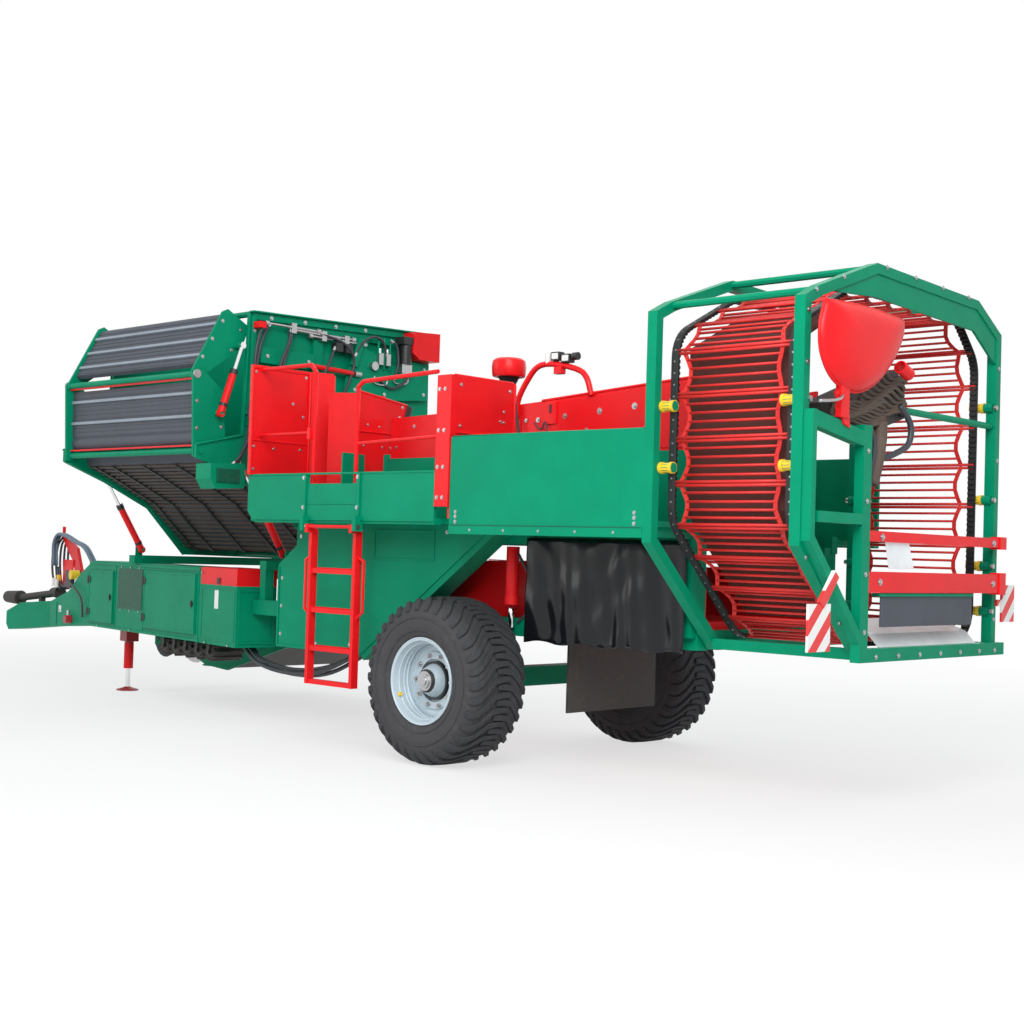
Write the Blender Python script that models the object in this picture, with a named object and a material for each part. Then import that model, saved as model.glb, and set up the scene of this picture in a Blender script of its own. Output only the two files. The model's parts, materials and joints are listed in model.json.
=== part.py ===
"""Trailed potato harvester with a ring elevator and a bunker that unloads to its left.

Metres, +Z up, +X forward (the towing end), +Y the machine's left. Sizes are given from the axle,
on the ground under its middle, and the whole machine is then moved so that its box is centred.
"""
import bmesh
import bpy
from math import cos, pi, radians, sin
from mathutils import Matrix, Vector

# ---------------------------------------------------------------- driving dimensions
GAP = 0.0003  # between pieces that touch

HALF_WIDTH = 1.66
HEIGHT = 3.98
FRONT_X = 9.34  # tip of the driveline
REAR_X = -3.62  # back of the elevator motor's cover
AXLE_X = -(FRONT_X + REAR_X) / 2

TYRE_RADIUS = 0.665
TYRE_WIDTH = 0.60
TYRE_BEAD = 0.345
TRACK_HALF = 1.27
WHEEL_SIDES = 40
WHEEL_Z = TYRE_RADIUS * cos(pi / WHEEL_SIDES)
SPINDLE_R = 0.045
PIN_CLEAR = 0.0008

SHEET = 0.03  # folded sheet panels, over their edges
SIDE_Y = 1.60  # outer face of the side panels
RAIL_Y, RAIL_W = 0.78, 0.12
RAIL_Z0, RAIL_Z1 = 1.03, 1.17
DECK_RAIL_Y0, DECK_RAIL_Y1 = 0.90, 0.98
DECK_RAIL_Z0 = 1.76
FRAME_REAR_X, FRAME_FRONT_X = -2.18, 2.30
CROSS_X = (-2.13, -0.80, 0.95, 2.10)  # posts and cross members along the chassis

DECK_Z0, DECK_Z1 = 1.90, 1.94
DECK_X0, DECK_X1 = -0.15, 2.22
DECK_Y0 = 0.66
KICK_TOP = 2.305

PANEL_Z0, PANEL_Z1 = 1.885, 2.565

RING_REAR_X, RING_FRONT_X = -3.45, -2.20
RING_DEPTH = 0.08  # frame members along X
PANEL_X0, PANEL_X1 = RING_FRONT_X + GAP, -0.32
RING_BAR = 0.07
RING_BOTTOM = 1.04
RING_RIGHT_Y = -1.16
WEB_X0, WEB_X1 = -3.33, -2.32
WEB_T = 0.045

TROUGH_Y0, TROUGH_Y1 = -0.76, 0.62
TROUGH_X0, TROUGH_X1 = -2.10, 1.50
TROUGH_Z0 = 1.86

BOX_ANGLE = radians(9.75)  # the drawbar housing turns towards the towing eye
BOX_FRONT = (6.67, 0.22)
BOX_LENGTH = 3.69
BOX_HALF = 0.21
BOX_Z0, BOX_Z1 = 0.71, 1.455
BOX_WALL = 0.02
TOOL_LENGTH = 0.78
TOOL_Z0, LID_Z = 0.77, 1.29
DOOR_T = 0.02
NOSE_REACH = 1.30  # from the housing's square front to the steering pin
HITCH = (BOX_FRONT[0] + NOSE_REACH * cos(BOX_ANGLE), BOX_FRONT[1] - NOSE_REACH * sin(BOX_ANGLE))
HITCH_PIN_R = 0.03
EYE_Z = (0.70, 0.86)

BUNKER_X0, BUNKER_X1 = 2.99, 5.31
BUNKER_T = 0.03
BUNKER_PIVOT = (-1.24, 1.60)
BUNKER_PIN_R = 0.03
KNEE_LOW = (1.58, 2.54)
KNEE_HIGH = (1.62, 3.25)
KNEE_R = 0.028
PLATE_T = 0.025
PLATE_STEP = 0.035
SUBFRAME_Z0, SUBFRAME_Z1 = 1.30, 1.44
REAR_BEAM_X, FRONT_BEAM_X = 2.84, 5.34
BEAM_W = 0.10

CYL_R, ROD_R = 0.035, 0.02
RAM_PIN_R = 0.016
RAM_HALF = 0.022
LIFT_FOOT, LIFT_EYE = (0.62, 1.60), (1.10, 2.36)
LIFT_X = {REAR_BEAM_X: 2.935, FRONT_BEAM_X: 5.365}
TIP_FOOT, TIP_EYE = (1.40, 2.90), (1.18, 3.56)
TIP_X = 2.95

DIGGER_PIVOT = (2.45, 1.12)
DIGGER_PIN_R = 0.035
DIGGER_Y0, DIGGER_Y1 = -HALF_WIDTH, -0.10
DIGGER_AXLE_R = 0.025
DISC_X, DISC_Z, DISC_R = 5.45, 0.66, 0.30
DIABOLO_X, DIABOLO_Z, DIABOLO_R = 6.05, 0.60, 0.22

LADDER_PIVOT = (1.625, 1.86)
LADDER_X0, LADDER_X1 = 0.76, 1.36
LADDER_PIN_R = 0.014

# ---------------------------------------------------------------- materials
COLOURS = {  # name: (red, green, blue), roughness, metallic
    "green_paint": ((0.0, 0.34, 0.20), 0.35, 0.0),
    "red_paint": ((0.72, 0.012, 0.02), 0.32, 0.0),
    "tyre_rubber": ((0.03, 0.032, 0.036), 0.85, 0.0),
    "belt_rubber": ((0.07, 0.075, 0.09), 0.7, 0.0),
    "rim_paint": ((0.62, 0.68, 0.71), 0.35, 0.2),
    "web_steel": ((0.55, 0.03, 0.03), 0.5, 0.0),
    "bare_steel": ((0.45, 0.45, 0.46), 0.35, 1.0),
    "chrome": ((0.8, 0.8, 0.82), 0.12, 1.0),
    "curtain_film": ((0.02, 0.022, 0.025), 0.25, 0.0),
    "white_sheet": ((0.72, 0.76, 0.77), 0.4, 0.3),
    "dark_flap": ((0.06, 0.05, 0.045), 0.7, 0.0),
    "board_film": ((0.8, 0.8, 0.8), 0.4, 0.0),
}


def material(name):
    found = bpy.data.materials.get(name)
    if found:
        return found
    colour, roughness, metallic = COLOURS[name]
    made = bpy.data.materials.new(name)
    made.use_nodes = True
    shader = made.node_tree.nodes["Principled BSDF"]
    shader.inputs["Base Color"].default_value = (*colour, 1)
    shader.inputs["Roughness"].default_value = roughness
    shader.inputs["Metallic"].default_value = metallic
    made.diffuse_color = (*colour, 1)
    return made


# ---------------------------------------------------------------- shapes
def shape(points, faces):
    """A loose mesh object from points and faces, with its faces turned outwards."""
    mesh = bmesh.new()
    corners = [mesh.verts.new(point) for point in points]
    for face in faces:
        mesh.faces.new([corners[i] for i in face])
    bmesh.ops.recalc_face_normals(mesh, faces=mesh.faces)
    data = bpy.data.meshes.new("shape")
    mesh.to_mesh(data)
    mesh.free()
    made = bpy.data.objects.new("shape", data)
    bpy.context.scene.collection.objects.link(made)
    return made


def lifted(axis, along, across):
    """The point at this distance along an axis, over this place in the plane across it."""
    a, b = across
    return {"X": (along, a, b), "Y": (a, along, b), "Z": (a, b, along)}[axis]


def prism(axis, outline, low, high):
    """An outline, (Y, Z), (X, Z) or (X, Y), pulled along the axis from low to high."""
    n = len(outline)
    points = [lifted(axis, low, p) for p in outline] + [lifted(axis, high, p) for p in outline]
    sides = [(i, (i + 1) % n, (i + 1) % n + n, i + n) for i in range(n)]
    return shape(points, sides + [tuple(range(n)), tuple(range(n, 2 * n))])


def band(axis, outer, inner, low, high):
    """A closed band between two outlines with the same number of points."""
    n = len(outer)
    points = [lifted(axis, along, p) for along in (low, high) for line in (outer, inner) for p in line]
    faces = []
    for i in range(n):
        j = (i + 1) % n
        faces += [(i, j, j + n, i + n), (i + 2 * n, j + 2 * n, j + 3 * n, i + 3 * n)]
        faces += [(i, j, j + 2 * n, i + 2 * n), (i + n, j + n, j + 3 * n, i + 3 * n)]
    return shape(points, faces)


def box(x0, x1, y0, y1, z0, z1):
    return prism("Z", [(x0, y0), (x1, y0), (x1, y1), (x0, y1)], z0, z1)


def beam(start, end, width, depth, across=(1, 0, 0)):
    """A rectangular bar between two points; its width lies along the direction across."""
    start, end = Vector(start), Vector(end)
    run = (end - start).normalized()
    side = Vector(across)
    side = (side - run * side.dot(run)).normalized()
    up = run.cross(side)
    corners = [
        end_point + side * (width / 2 * s) + up * (depth / 2 * t)
        for end_point in (start, end)
        for s, t in ((-1, -1), (1, -1), (1, 1), (-1, 1))
    ]
    sides = [(i, (i + 1) % 4, (i + 1) % 4 + 4, i + 4) for i in range(4)]
    return shape(corners, sides + [(0, 1, 2, 3), (4, 5, 6, 7)])


def tube(points, radius, sides=8):
    """A round bar along a line of points, mitred at its bends."""
    points = [Vector(p) for p in points]
    runs = [(b - a).normalized() for a, b in zip(points, points[1:])]
    side = runs[0].orthogonal().normalized()
    rings = []
    for i, point in enumerate(points):
        before, after = runs[max(i - 1, 0)], runs[min(i, len(runs) - 1)]
        if i:
            side = before.rotation_difference(after) @ side
        mitre = (before + after).normalized()
        up = after.cross(side).normalized()
        ring = []
        for k in range(sides):
            spoke = side * (radius * cos(2 * pi * k / sides)) + up * (radius * sin(2 * pi * k / sides))
            ring.append(point + spoke - after * (spoke.dot(mitre) / after.dot(mitre)))
        rings.append(ring)
    count = len(rings)
    faces = [
        (i * sides + k, i * sides + (k + 1) % sides, (i + 1) * sides + (k + 1) % sides, (i + 1) * sides + k)
        for i in range(count - 1)
        for k in range(sides)
    ]
    caps = [tuple(range(sides)), tuple((count - 1) * sides + k for k in range(sides))]
    return shape([p for ring in rings for p in ring], faces + caps)


def turned(axis, centre, profile, sides=24, closed=True):
    """A profile of (distance along the axis, radius) turned about it; flat sides lie at the bottom."""
    points, rows = [], []
    for along, radius in profile:
        row = []
        for k in range(sides if radius else 1):
            angle = 2 * pi * (k + 0.5) / sides - pi / 2
            spoke = (radius * cos(angle), radius * sin(angle))
            row.append(len(points))
            points.append(Vector(centre) + Vector(lifted(axis, along, spoke)))
        rows.append(row)
    faces = []
    for i in range(len(rows) if closed else len(rows) - 1):
        a, b = rows[i], rows[(i + 1) % len(rows)]
        for k in range(sides):
            j = (k + 1) % sides
            corner = [a[k % len(a)], a[j % len(a)], b[j % len(b)], b[k % len(b)]]
            face = tuple(dict.fromkeys(corner))
            if len(face) > 2:
                faces.append(face)
    return shape(points, faces)


def disc(axis, centre, radius, low, high, sides=16):
    return turned(axis, centre, [(low, 0), (low, radius), (high, radius), (high, 0)], sides, closed=False)


def rounded(outline, radius, steps=3):
    """The outline with each corner cut back and filled by an arc of that radius."""
    made = []
    count = len(outline)
    for i, corner in enumerate(outline):
        here = Vector(corner)
        back = (Vector(outline[i - 1]) - here).normalized()
        on = (Vector(outline[(i + 1) % count]) - here).normalized()
        half = back.angle(on) / 2
        centre = here + (back + on).normalized() * (radius / sin(half))
        first = here + back * (radius * cos(half) / sin(half)) - centre
        turn = pi - 2 * half
        sign = 1 if back.x * on.y - back.y * on.x < 0 else -1
        for k in range(steps + 1):
            angle = sign * turn * k / steps
            spoke = Vector((first.x * cos(angle) - first.y * sin(angle), first.x * sin(angle) + first.y * cos(angle)))
            made.append(tuple(centre + spoke))
    return made


def inset(outline, by):
    """The outline moved inwards; its points run the same way and keep their number."""
    area = sum(a[0] * b[1] - b[0] * a[1] for a, b in zip(outline, outline[1:] + outline[:1]))
    sign = 1 if area > 0 else -1
    made = []
    for i, corner in enumerate(outline):
        here = Vector(corner)
        back = (here - Vector(outline[i - 1])).normalized()
        on = (Vector(outline[(i + 1) % len(outline)]) - here).normalized()
        normals = [Vector((-run.y, run.x)) * sign for run in (back, on)]
        mitre = (normals[0] + normals[1]).normalized()
        made.append(tuple(here + mitre * (by / mitre.dot(normals[1]))))
    return made


def combined(body, operation, others):
    """The body's mesh after one Boolean with each of the others, which are then removed."""
    for other in others:
        modifier = body.modifiers.new(operation.lower(), "BOOLEAN")
        modifier.operation = operation
        modifier.object = other
    bpy.context.view_layer.update()
    graph = bpy.context.evaluated_depsgraph_get()
    body.data = bpy.data.meshes.new_from_object(body.evaluated_get(graph))
    body.modifiers.clear()
    for other in others:
        bpy.data.objects.remove(other)


def node(name, paint, pieces, cutters=(), origin=(0, 0, 0), parent=None, smooth=35):
    """A sub-part: the union of its pieces, less the cutters, with its origin where it turns."""
    made = pieces[0]
    combined(made, "UNION", pieces[1:])
    combined(made, "DIFFERENCE", cutters)
    made.name = made.data.name = name
    made.data.transform(Matrix.Translation(-Vector(origin)))
    made.data.shade_smooth()
    made.data.set_sharp_from_angle(angle=radians(smooth))
    made.data.materials.clear()
    made.data.materials.append(material(paint))
    made.location = origin
    made.parent = parent or bpy.data.objects["machine"]
    return made


def empty(name, location, turn=0.0, parent=None):
    made = bpy.data.objects.new(name, None)
    bpy.context.scene.collection.objects.link(made)
    made.location = location
    made.rotation_euler = (0, 0, turn)
    made.parent = parent
    return made


# ---------------------------------------------------------------- running gear
def wheel(side, sign):
    """Tyre and dished rim with its hub, which turns on the axle's spindle."""
    centre = (0, sign * TRACK_HALF, WHEEL_Z)
    half = TYRE_WIDTH / 2
    section = [  # (share of the half width, radius)
        (-0.88, TYRE_BEAD),
        (-1.0, 0.43),
        (-1.0, 0.56),
        (-0.86, 0.64),
        (-0.60, TYRE_RADIUS),
        (0.60, TYRE_RADIUS),
        (0.86, 0.64),
        (1.0, 0.56),
        (1.0, 0.43),
        (0.88, TYRE_BEAD),
    ]
    tyre = turned("Y", centre, [(half * a, r) for a, r in section], WHEEL_SIDES)
    node(f"tyre_{side}", "tyre_rubber", [tyre], origin=centre)
    seat = TYRE_BEAD - GAP
    lip, well, dish = 0.268, 0.30, 0.06
    bore = (SPINDLE_R + PIN_CLEAR) / cos(pi / WHEEL_SIDES)
    section = [  # (distance out from the tyre's middle, radius)
        (-lip, seat),
        (lip, seat),
        (lip, seat - 0.025),
        (0.20, well),
        (dish + 0.05, well),
        (dish + 0.03, 0.15),
        (dish + 0.14, 0.10),
        (dish + 0.14, bore),
        (-0.30, bore),
        (-0.30, 0.11),
        (dish - 0.02, 0.15),
        (dish - 0.02, well - 0.01),
        (-0.20, well),
        (-lip, seat - 0.025),
    ]
    rim = turned("Y", centre, [(sign * a, r) for a, r in section], WHEEL_SIDES)
    node(f"rim_{side}", "rim_paint", [rim], origin=centre)


def axle():
    """Axle beam with spindles and the uprights that carry the chassis."""
    inner = TRACK_HALF - 0.30 - 0.01
    pieces = [box(-0.08, 0.08, -inner, inner, WHEEL_Z - 0.08, WHEEL_Z + 0.08)]
    for sign in (-1, 1):
        pieces.append(disc("Y", (0, 0, WHEEL_Z), SPINDLE_R, *sorted((sign * 0.9, sign * (TRACK_HALF + 0.15))), 24))
        low, high = sorted((sign * RAIL_Y, sign * (RAIL_Y + RAIL_W)))
        pieces.append(box(-0.14, 0.14, low, high, WHEEL_Z - 0.05, RAIL_Z0 - GAP))
    node("axle_beam", "green_paint", pieces)


def chassis():
    """Two lower rails, the deck rails above them, the posts and the cross members."""
    box_rear_x = BOX_FRONT[0] - BOX_LENGTH * cos(BOX_ANGLE)
    box_rear_y = BOX_FRONT[1] + BOX_LENGTH * sin(BOX_ANGLE)
    rail_end = box_rear_x + (RAIL_Y - box_rear_y) * sin(BOX_ANGLE) / cos(BOX_ANGLE) - 2 * GAP
    px, pz = DIGGER_PIVOT
    pieces = [
        box(FRAME_REAR_X, rail_end, RAIL_Y, RAIL_Y + RAIL_W, RAIL_Z0, RAIL_Z1),
        box(FRAME_REAR_X, px + 0.08, -RAIL_Y - RAIL_W, -RAIL_Y, RAIL_Z0, RAIL_Z1),
        box(2.10, px + 0.08, -0.32, -0.24, RAIL_Z0, RAIL_Z1),
    ]
    hole = disc("Y", (px, 0, pz), DIGGER_PIN_R + PIN_CLEAR, -1.0, -0.1, 16)
    deck_ends = (FRAME_REAR_X, FRAME_FRONT_X - 0.05)
    for sign in (1, -1):
        low, high = sorted((sign * DECK_RAIL_Y0, sign * DECK_RAIL_Y1))
        pieces.append(box(*deck_ends, low, high, DECK_RAIL_Z0, DECK_Z0 - GAP))
        inner, outer = sorted((sign * (RAIL_Y + 0.02), sign * (DECK_RAIL_Y1 - 0.01)))
        for x in CROSS_X[: 4 if sign > 0 else 3]:
            pieces.append(box(x - 0.04, x + 0.04, inner, outer, RAIL_Z1 - 0.05, DECK_RAIL_Z0 + 0.05))
    for x in CROSS_X:
        pieces.append(box(x - 0.035, x + 0.035, -RAIL_Y - 0.02, RAIL_Y + 0.02, RAIL_Z0 + 0.06, RAIL_Z1 - 0.0005))
    for x in (-1.90, 1.20):
        pieces.append(box(x - 0.03, x + 0.03, -DECK_RAIL_Y0 - 0.02, DECK_RAIL_Y0 + 0.02, TROUGH_Z0 - 0.07, TROUGH_Z0 - GAP))
    node("chassis_frame", "green_paint", pieces, [hole])


def bunker_subframe():
    """Right beam, two transverse beams, the pivot pins and the feet of the lift rams."""
    beam_y0, beam_y1 = BUNKER_PIVOT[0] - 0.06, BUNKER_PIVOT[0] + 0.06
    beam_z0, beam_z1 = BOX_Z1 + GAP, BOX_Z1 + 0.085
    deck_end = FRAME_FRONT_X - 0.05 + GAP
    pieces = [
        box(deck_end + 0.07, FRONT_BEAM_X + BEAM_W, beam_y0, beam_y1, SUBFRAME_Z0, SUBFRAME_Z1),
        box(deck_end + 0.07, deck_end + 0.17, beam_y0 + 0.001, beam_y1 - 0.001, SUBFRAME_Z0 + 0.01, DECK_Z0 - 0.03),
        box(deck_end, deck_end + 0.16, beam_y0 + 0.002, -DECK_RAIL_Y0, DECK_RAIL_Z0 + 0.01, DECK_Z0 - 0.02),
        box(REAR_BEAM_X + 0.01, REAR_BEAM_X + BEAM_W - 0.01, RAIL_Y + 0.01, RAIL_Y + 0.11, RAIL_Z1 + GAP, beam_z1 - 0.01),
    ]
    foot_y, foot_z = LIFT_FOOT
    for x, end, ear_x in ((REAR_BEAM_X, RAIL_Y + 0.11, REAR_BEAM_X + 0.005), (FRONT_BEAM_X, 0.72, FRONT_BEAM_X + 0.07)):
        pieces.append(box(x, x + BEAM_W, beam_y0 + 0.003, end + 0.002, beam_z0, beam_z1))
        pieces.append(box(x + 0.003, x + BEAM_W - 0.003, beam_y0 + 0.004, beam_y1, SUBFRAME_Z0 + 0.02, BUNKER_PIVOT[1] + 0.07))
        wall = BUNKER_X0 if x == REAR_BEAM_X else BUNKER_X1
        through = wall + (BUNKER_T + 0.005) * (1 if x == REAR_BEAM_X else -1)
        pieces.append(disc("X", (0, *BUNKER_PIVOT), BUNKER_PIN_R, *sorted((x + BEAM_W / 2, through))))
        pieces.append(box(ear_x, ear_x + 0.015, foot_y - 0.04, foot_y + 0.04, beam_z1 - 0.02, foot_z + 0.04))
        pieces.append(disc("X", (0, foot_y, foot_z), RAM_PIN_R, *sorted((ear_x + 0.007, LIFT_X[x] + (0.026 if ear_x < LIFT_X[x] else -0.026))), 12))
    node("bunker_subframe", "green_paint", pieces)


# ---------------------------------------------------------------- crop channel and digging unit
def feed_channel():
    """Floor and walls that carry the crop from the digging unit back to the ring."""
    plan = [(-2.10, -0.72), (1.30, -0.72), (2.25, -1.55), (2.25, -0.12), (1.30, 0.72), (-2.10, 0.72)]
    base, floor, top = RAIL_Z1 + GAP, RAIL_Z1 + 0.06, 1.62
    far = 3.0
    hollow = prism("Z", inset(plan, SHEET), floor, top + 0.1)
    open_rear = box(-far, -2.0, SHEET - 0.72, 0.72 - SHEET, floor, top + 0.1)
    open_front = box(2.15, far, SHEET - 1.55, -0.12 - SHEET, floor, top + 0.1)
    node("feed_channel", "red_paint", [prism("Z", plan, base, top)], [hollow, open_rear, open_front])


def digger():
    """Side plates, shares, digging web, cutting discs and ridge rollers: one arm that lifts."""
    px, pz = DIGGER_PIVOT
    y0, y1 = DIGGER_Y0, DIGGER_Y1
    side = [
        (px - 0.08, pz - 0.06),
        (4.75, 0.33),
        (5.15, 0.36),
        (DISC_X + 0.12, DISC_Z - 0.12),
        (DIABOLO_X + 0.08, DIABOLO_Z - 0.08),
        (DIABOLO_X + 0.08, DIABOLO_Z + 0.10),
        (DISC_X, DISC_Z + 0.16),
        (4.80, 0.80),
        (px + 0.10, pz + 0.16),
        (px - 0.08, pz + 0.08),
    ]
    plates = [prism("Y", side, low, low + 0.03) for low in (y0, y1 - 0.03)]
    ties = [
        disc("Y", (px, 0, pz), DIGGER_PIN_R, y0 + 0.001, y1 - 0.001, 16),
        tube([(4.80, y0 + 0.01, 0.74), (4.80, y1 - 0.01, 0.74)], 0.035, 10),
    ]
    share = [(4.70, 0.36), (5.20, 0.345), (5.22, 0.36), (4.70, 0.41)]
    shares = prism("Y", share, y0 + 0.01, y1 - 0.01)
    holes = [
        disc("Y", (x, 0, z), DIGGER_AXLE_R + PIN_CLEAR, y0 - 0.1, y1 + 0.1)
        for x, z in ((DISC_X, DISC_Z), (DIABOLO_X, DIABOLO_Z))
    ]
    web = prism("Y", [(px + 0.11, pz - 0.07), (4.71, 0.37), (4.73, 0.405), (4.62, 0.47), (px + 0.11, pz)], y0 + 0.02, y1 - 0.02)
    node("digger_frame", "green_paint", plates + ties + [web, shares], holes, origin=(px, y0, pz))
    discs = [disc("Y", (DISC_X, 0, DISC_Z), DIGGER_AXLE_R, y0 + 0.005, y1 - 0.005, 16)]
    for y in (-1.58, -0.92, -0.84, -0.18):
        discs.append(disc("Y", (DISC_X, 0, DISC_Z), DISC_R, y - 0.006, y + 0.006, 24))
    node("cutting_discs", "bare_steel", discs, origin=(DISC_X, 0, DISC_Z))
    rollers = [disc("Y", (DIABOLO_X, 0, DIABOLO_Z), DIGGER_AXLE_R, y0 + 0.005, y1 - 0.005, 16)]
    for y in (-1.25, -0.50):
        waist = [(-0.31, 0), (-0.31, DIABOLO_R), (-0.10, 0.14), (0.10, 0.14), (0.31, DIABOLO_R), (0.31, 0)]
        rollers.append(turned("Y", (DIABOLO_X, y, DIABOLO_Z), waist, 20, closed=False))
    node("ridge_rollers", "belt_rubber", rollers, origin=(DIABOLO_X, 0, DIABOLO_Z))


# ---------------------------------------------------------------- drawbar housing
def housing(frame):
    """The slanted housing over the drawbar, with two cupboards, the tool box and the lid."""
    front, rear = 0.0, -BOX_LENGTH
    nose = [
        (rear + TOOL_LENGTH, BOX_Z0),
        (front, BOX_Z0),
        (1.22, 0.63),
        (1.22, 0.93),
        (0.62, 1.08),
        (0.26, 1.30),
        (front + 0.06, BOX_Z1 - 0.07),
        (front - 0.10, BOX_Z1),
        (rear + TOOL_LENGTH, BOX_Z1),
    ]
    body = prism("Y", nose, -BOX_HALF, BOX_HALF)
    proud = BOX_HALF + 0.002
    tool = box(rear, rear + TOOL_LENGTH + 0.005, -proud, proud, BOX_Z0 - 0.002, LID_Z - GAP)
    sleeve, bore = jack_sleeve()
    recesses = []
    for x0, x1, z0, z1 in CUPBOARDS.values():
        recesses.append(box(x0 + 0.03, x1 - 0.03, -0.05, BOX_HALF + 0.1, z0 + 0.03, z1 - 0.03))
    eye = disc("Z", (NOSE_REACH, 0, 0), 0.07, *EYE_Z, 12)
    tongue = box(1.10, NOSE_REACH, -0.055, 0.055, EYE_Z[0] + 0.002, EYE_Z[1] - 0.002)
    pin_hole = disc("Z", (NOSE_REACH, 0, 0), HITCH_PIN_R + PIN_CLEAR, 0.5, 1.0, 16)
    x0, x1, y = rear + BOX_WALL, rear + TOOL_LENGTH - BOX_WALL, BOX_HALF - BOX_WALL
    inside = box(x0, x1, -y, y, TOOL_Z0, 2)
    node("drawbar_housing", "green_paint", [body, tool, tongue, eye, *sleeve], [*recesses, pin_hole, inside, bore], parent=frame)
    for name, (x0, x1, z0, z1) in CUPBOARDS.items():
        hinge = (x1, BOX_HALF + DOOR_T + 0.004, 0)
        door = box(x0, x1, BOX_HALF + GAP, BOX_HALF + DOOR_T, z0, z1)
        node(name, "green_paint", [door], origin=hinge, parent=frame)
    lid = box(rear, rear + TOOL_LENGTH - 0.006, -proud, proud, LID_Z, BOX_Z1)
    under = box(x0, x1, -y, y, 1, BOX_Z1 - BOX_WALL)
    node("tool_box_lid", "red_paint", [lid], [under], origin=(rear, -BOX_HALF, LID_Z), parent=frame)


JACK = (-0.40, -0.13)
JACK_ROD_R = 0.028
CUPBOARDS = {  # name: rear and front end along the housing, bottom, top
    "cupboard_door_front": (-0.74, -0.04, 0.77, 1.35),
    "cupboard_door_rear": (-2.82, -1.57, 0.78, 1.385),
}


def jack_sleeve():
    """The parking jack's tube and collar under the housing, and its bore."""
    x, y = JACK
    sleeve = disc("Z", (x, y, 0), 0.048, 0.25, BOX_Z0 + 0.01, 16)
    collar = box(x - 0.09, x + 0.09, y - 0.07, y + 0.07, 0.56, BOX_Z0 + 0.01)
    return (sleeve, collar), disc("Z", (x, y, 0), JACK_ROD_R + PIN_CLEAR, 0.0, BOX_Z0 - 0.01, 16)


def jack(frame):
    """The rod and foot that slide in the parking jack's tube."""
    x, y = JACK
    rod = disc("Z", (x, y, 0), JACK_ROD_R, 0.01, 0.48, 16)
    foot = turned("Z", (x, y, 0), [(0, 0), (0, 0.125), (0.012, 0.125), (0.045, 0.04), (0.045, 0)], 20, closed=False)
    node("jack_foot", "chrome", [rod, foot], origin=(x, y, 0), parent=frame)


def drawbar():
    """The steered drawbar with its towing eye, and the driveline that lies over it."""
    x, y = HITCH
    z0, z1 = 0.60, 0.86
    side = [
        (x + 0.10, 0.62),
        (x + 1.08, 0.53),
        (x + 1.14, 0.60),
        (x + 1.14, 0.76),
        (x + 0.80, 0.88),
        (x + 0.10, 0.93),
    ]
    body = prism("Y", side, y - 0.14, y + 0.14)
    forks = [
        box(x - 0.035, x + 0.14, y - 0.08, y + 0.08, low, low + 0.03) for low in (EYE_Z[0] - GAP - 0.03, EYE_Z[1] + GAP)
    ]
    pin = disc("Z", (x, y, 0), HITCH_PIN_R, EYE_Z[0] - 0.02, EYE_Z[1] + 0.02, 16)
    node("drawbar", "green_paint", [body, *forks, pin], origin=(x, y, 0))
    shaft = tube([(x + 0.12, y, 1.03), (x + 1.05, y, 0.93)], 0.045, 12)
    guard = turned("X", (x + 1.05, y, 0.93), [(0, 0), (0, 0.09), (0.32, 0.075), (0.34, 0.05), (0.34, 0)], 16, closed=False)
    cup = turned("X", (x + 0.10, y, 1.03), [(0, 0), (0, 0.08), (0.18, 0.055), (0.18, 0)], 16, closed=False)
    top_slope = (0.93 - 0.88) / (0.80 - 0.10)
    rest = box(x + 0.50, x + 0.56, y - 0.03, y + 0.03, 0.93 - 0.40 * top_slope + GAP, 0.97)
    node("driveline", "dark_flap", [shaft, guard, cup, rest], origin=(x, y, 0))


def hose_rack(frame):
    """Leaning red arm that parks the hydraulic hoses."""
    side = [(0.62, 1.08), (0.80, 1.035), (1.02, 1.42), (1.42, 1.72), (1.40, 1.76), (0.92, 1.58)]
    node("hose_rack", "red_paint", [prism("Y", [(x, z + GAP) for x, z in side], -0.02, 0.02)], parent=frame)


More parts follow.
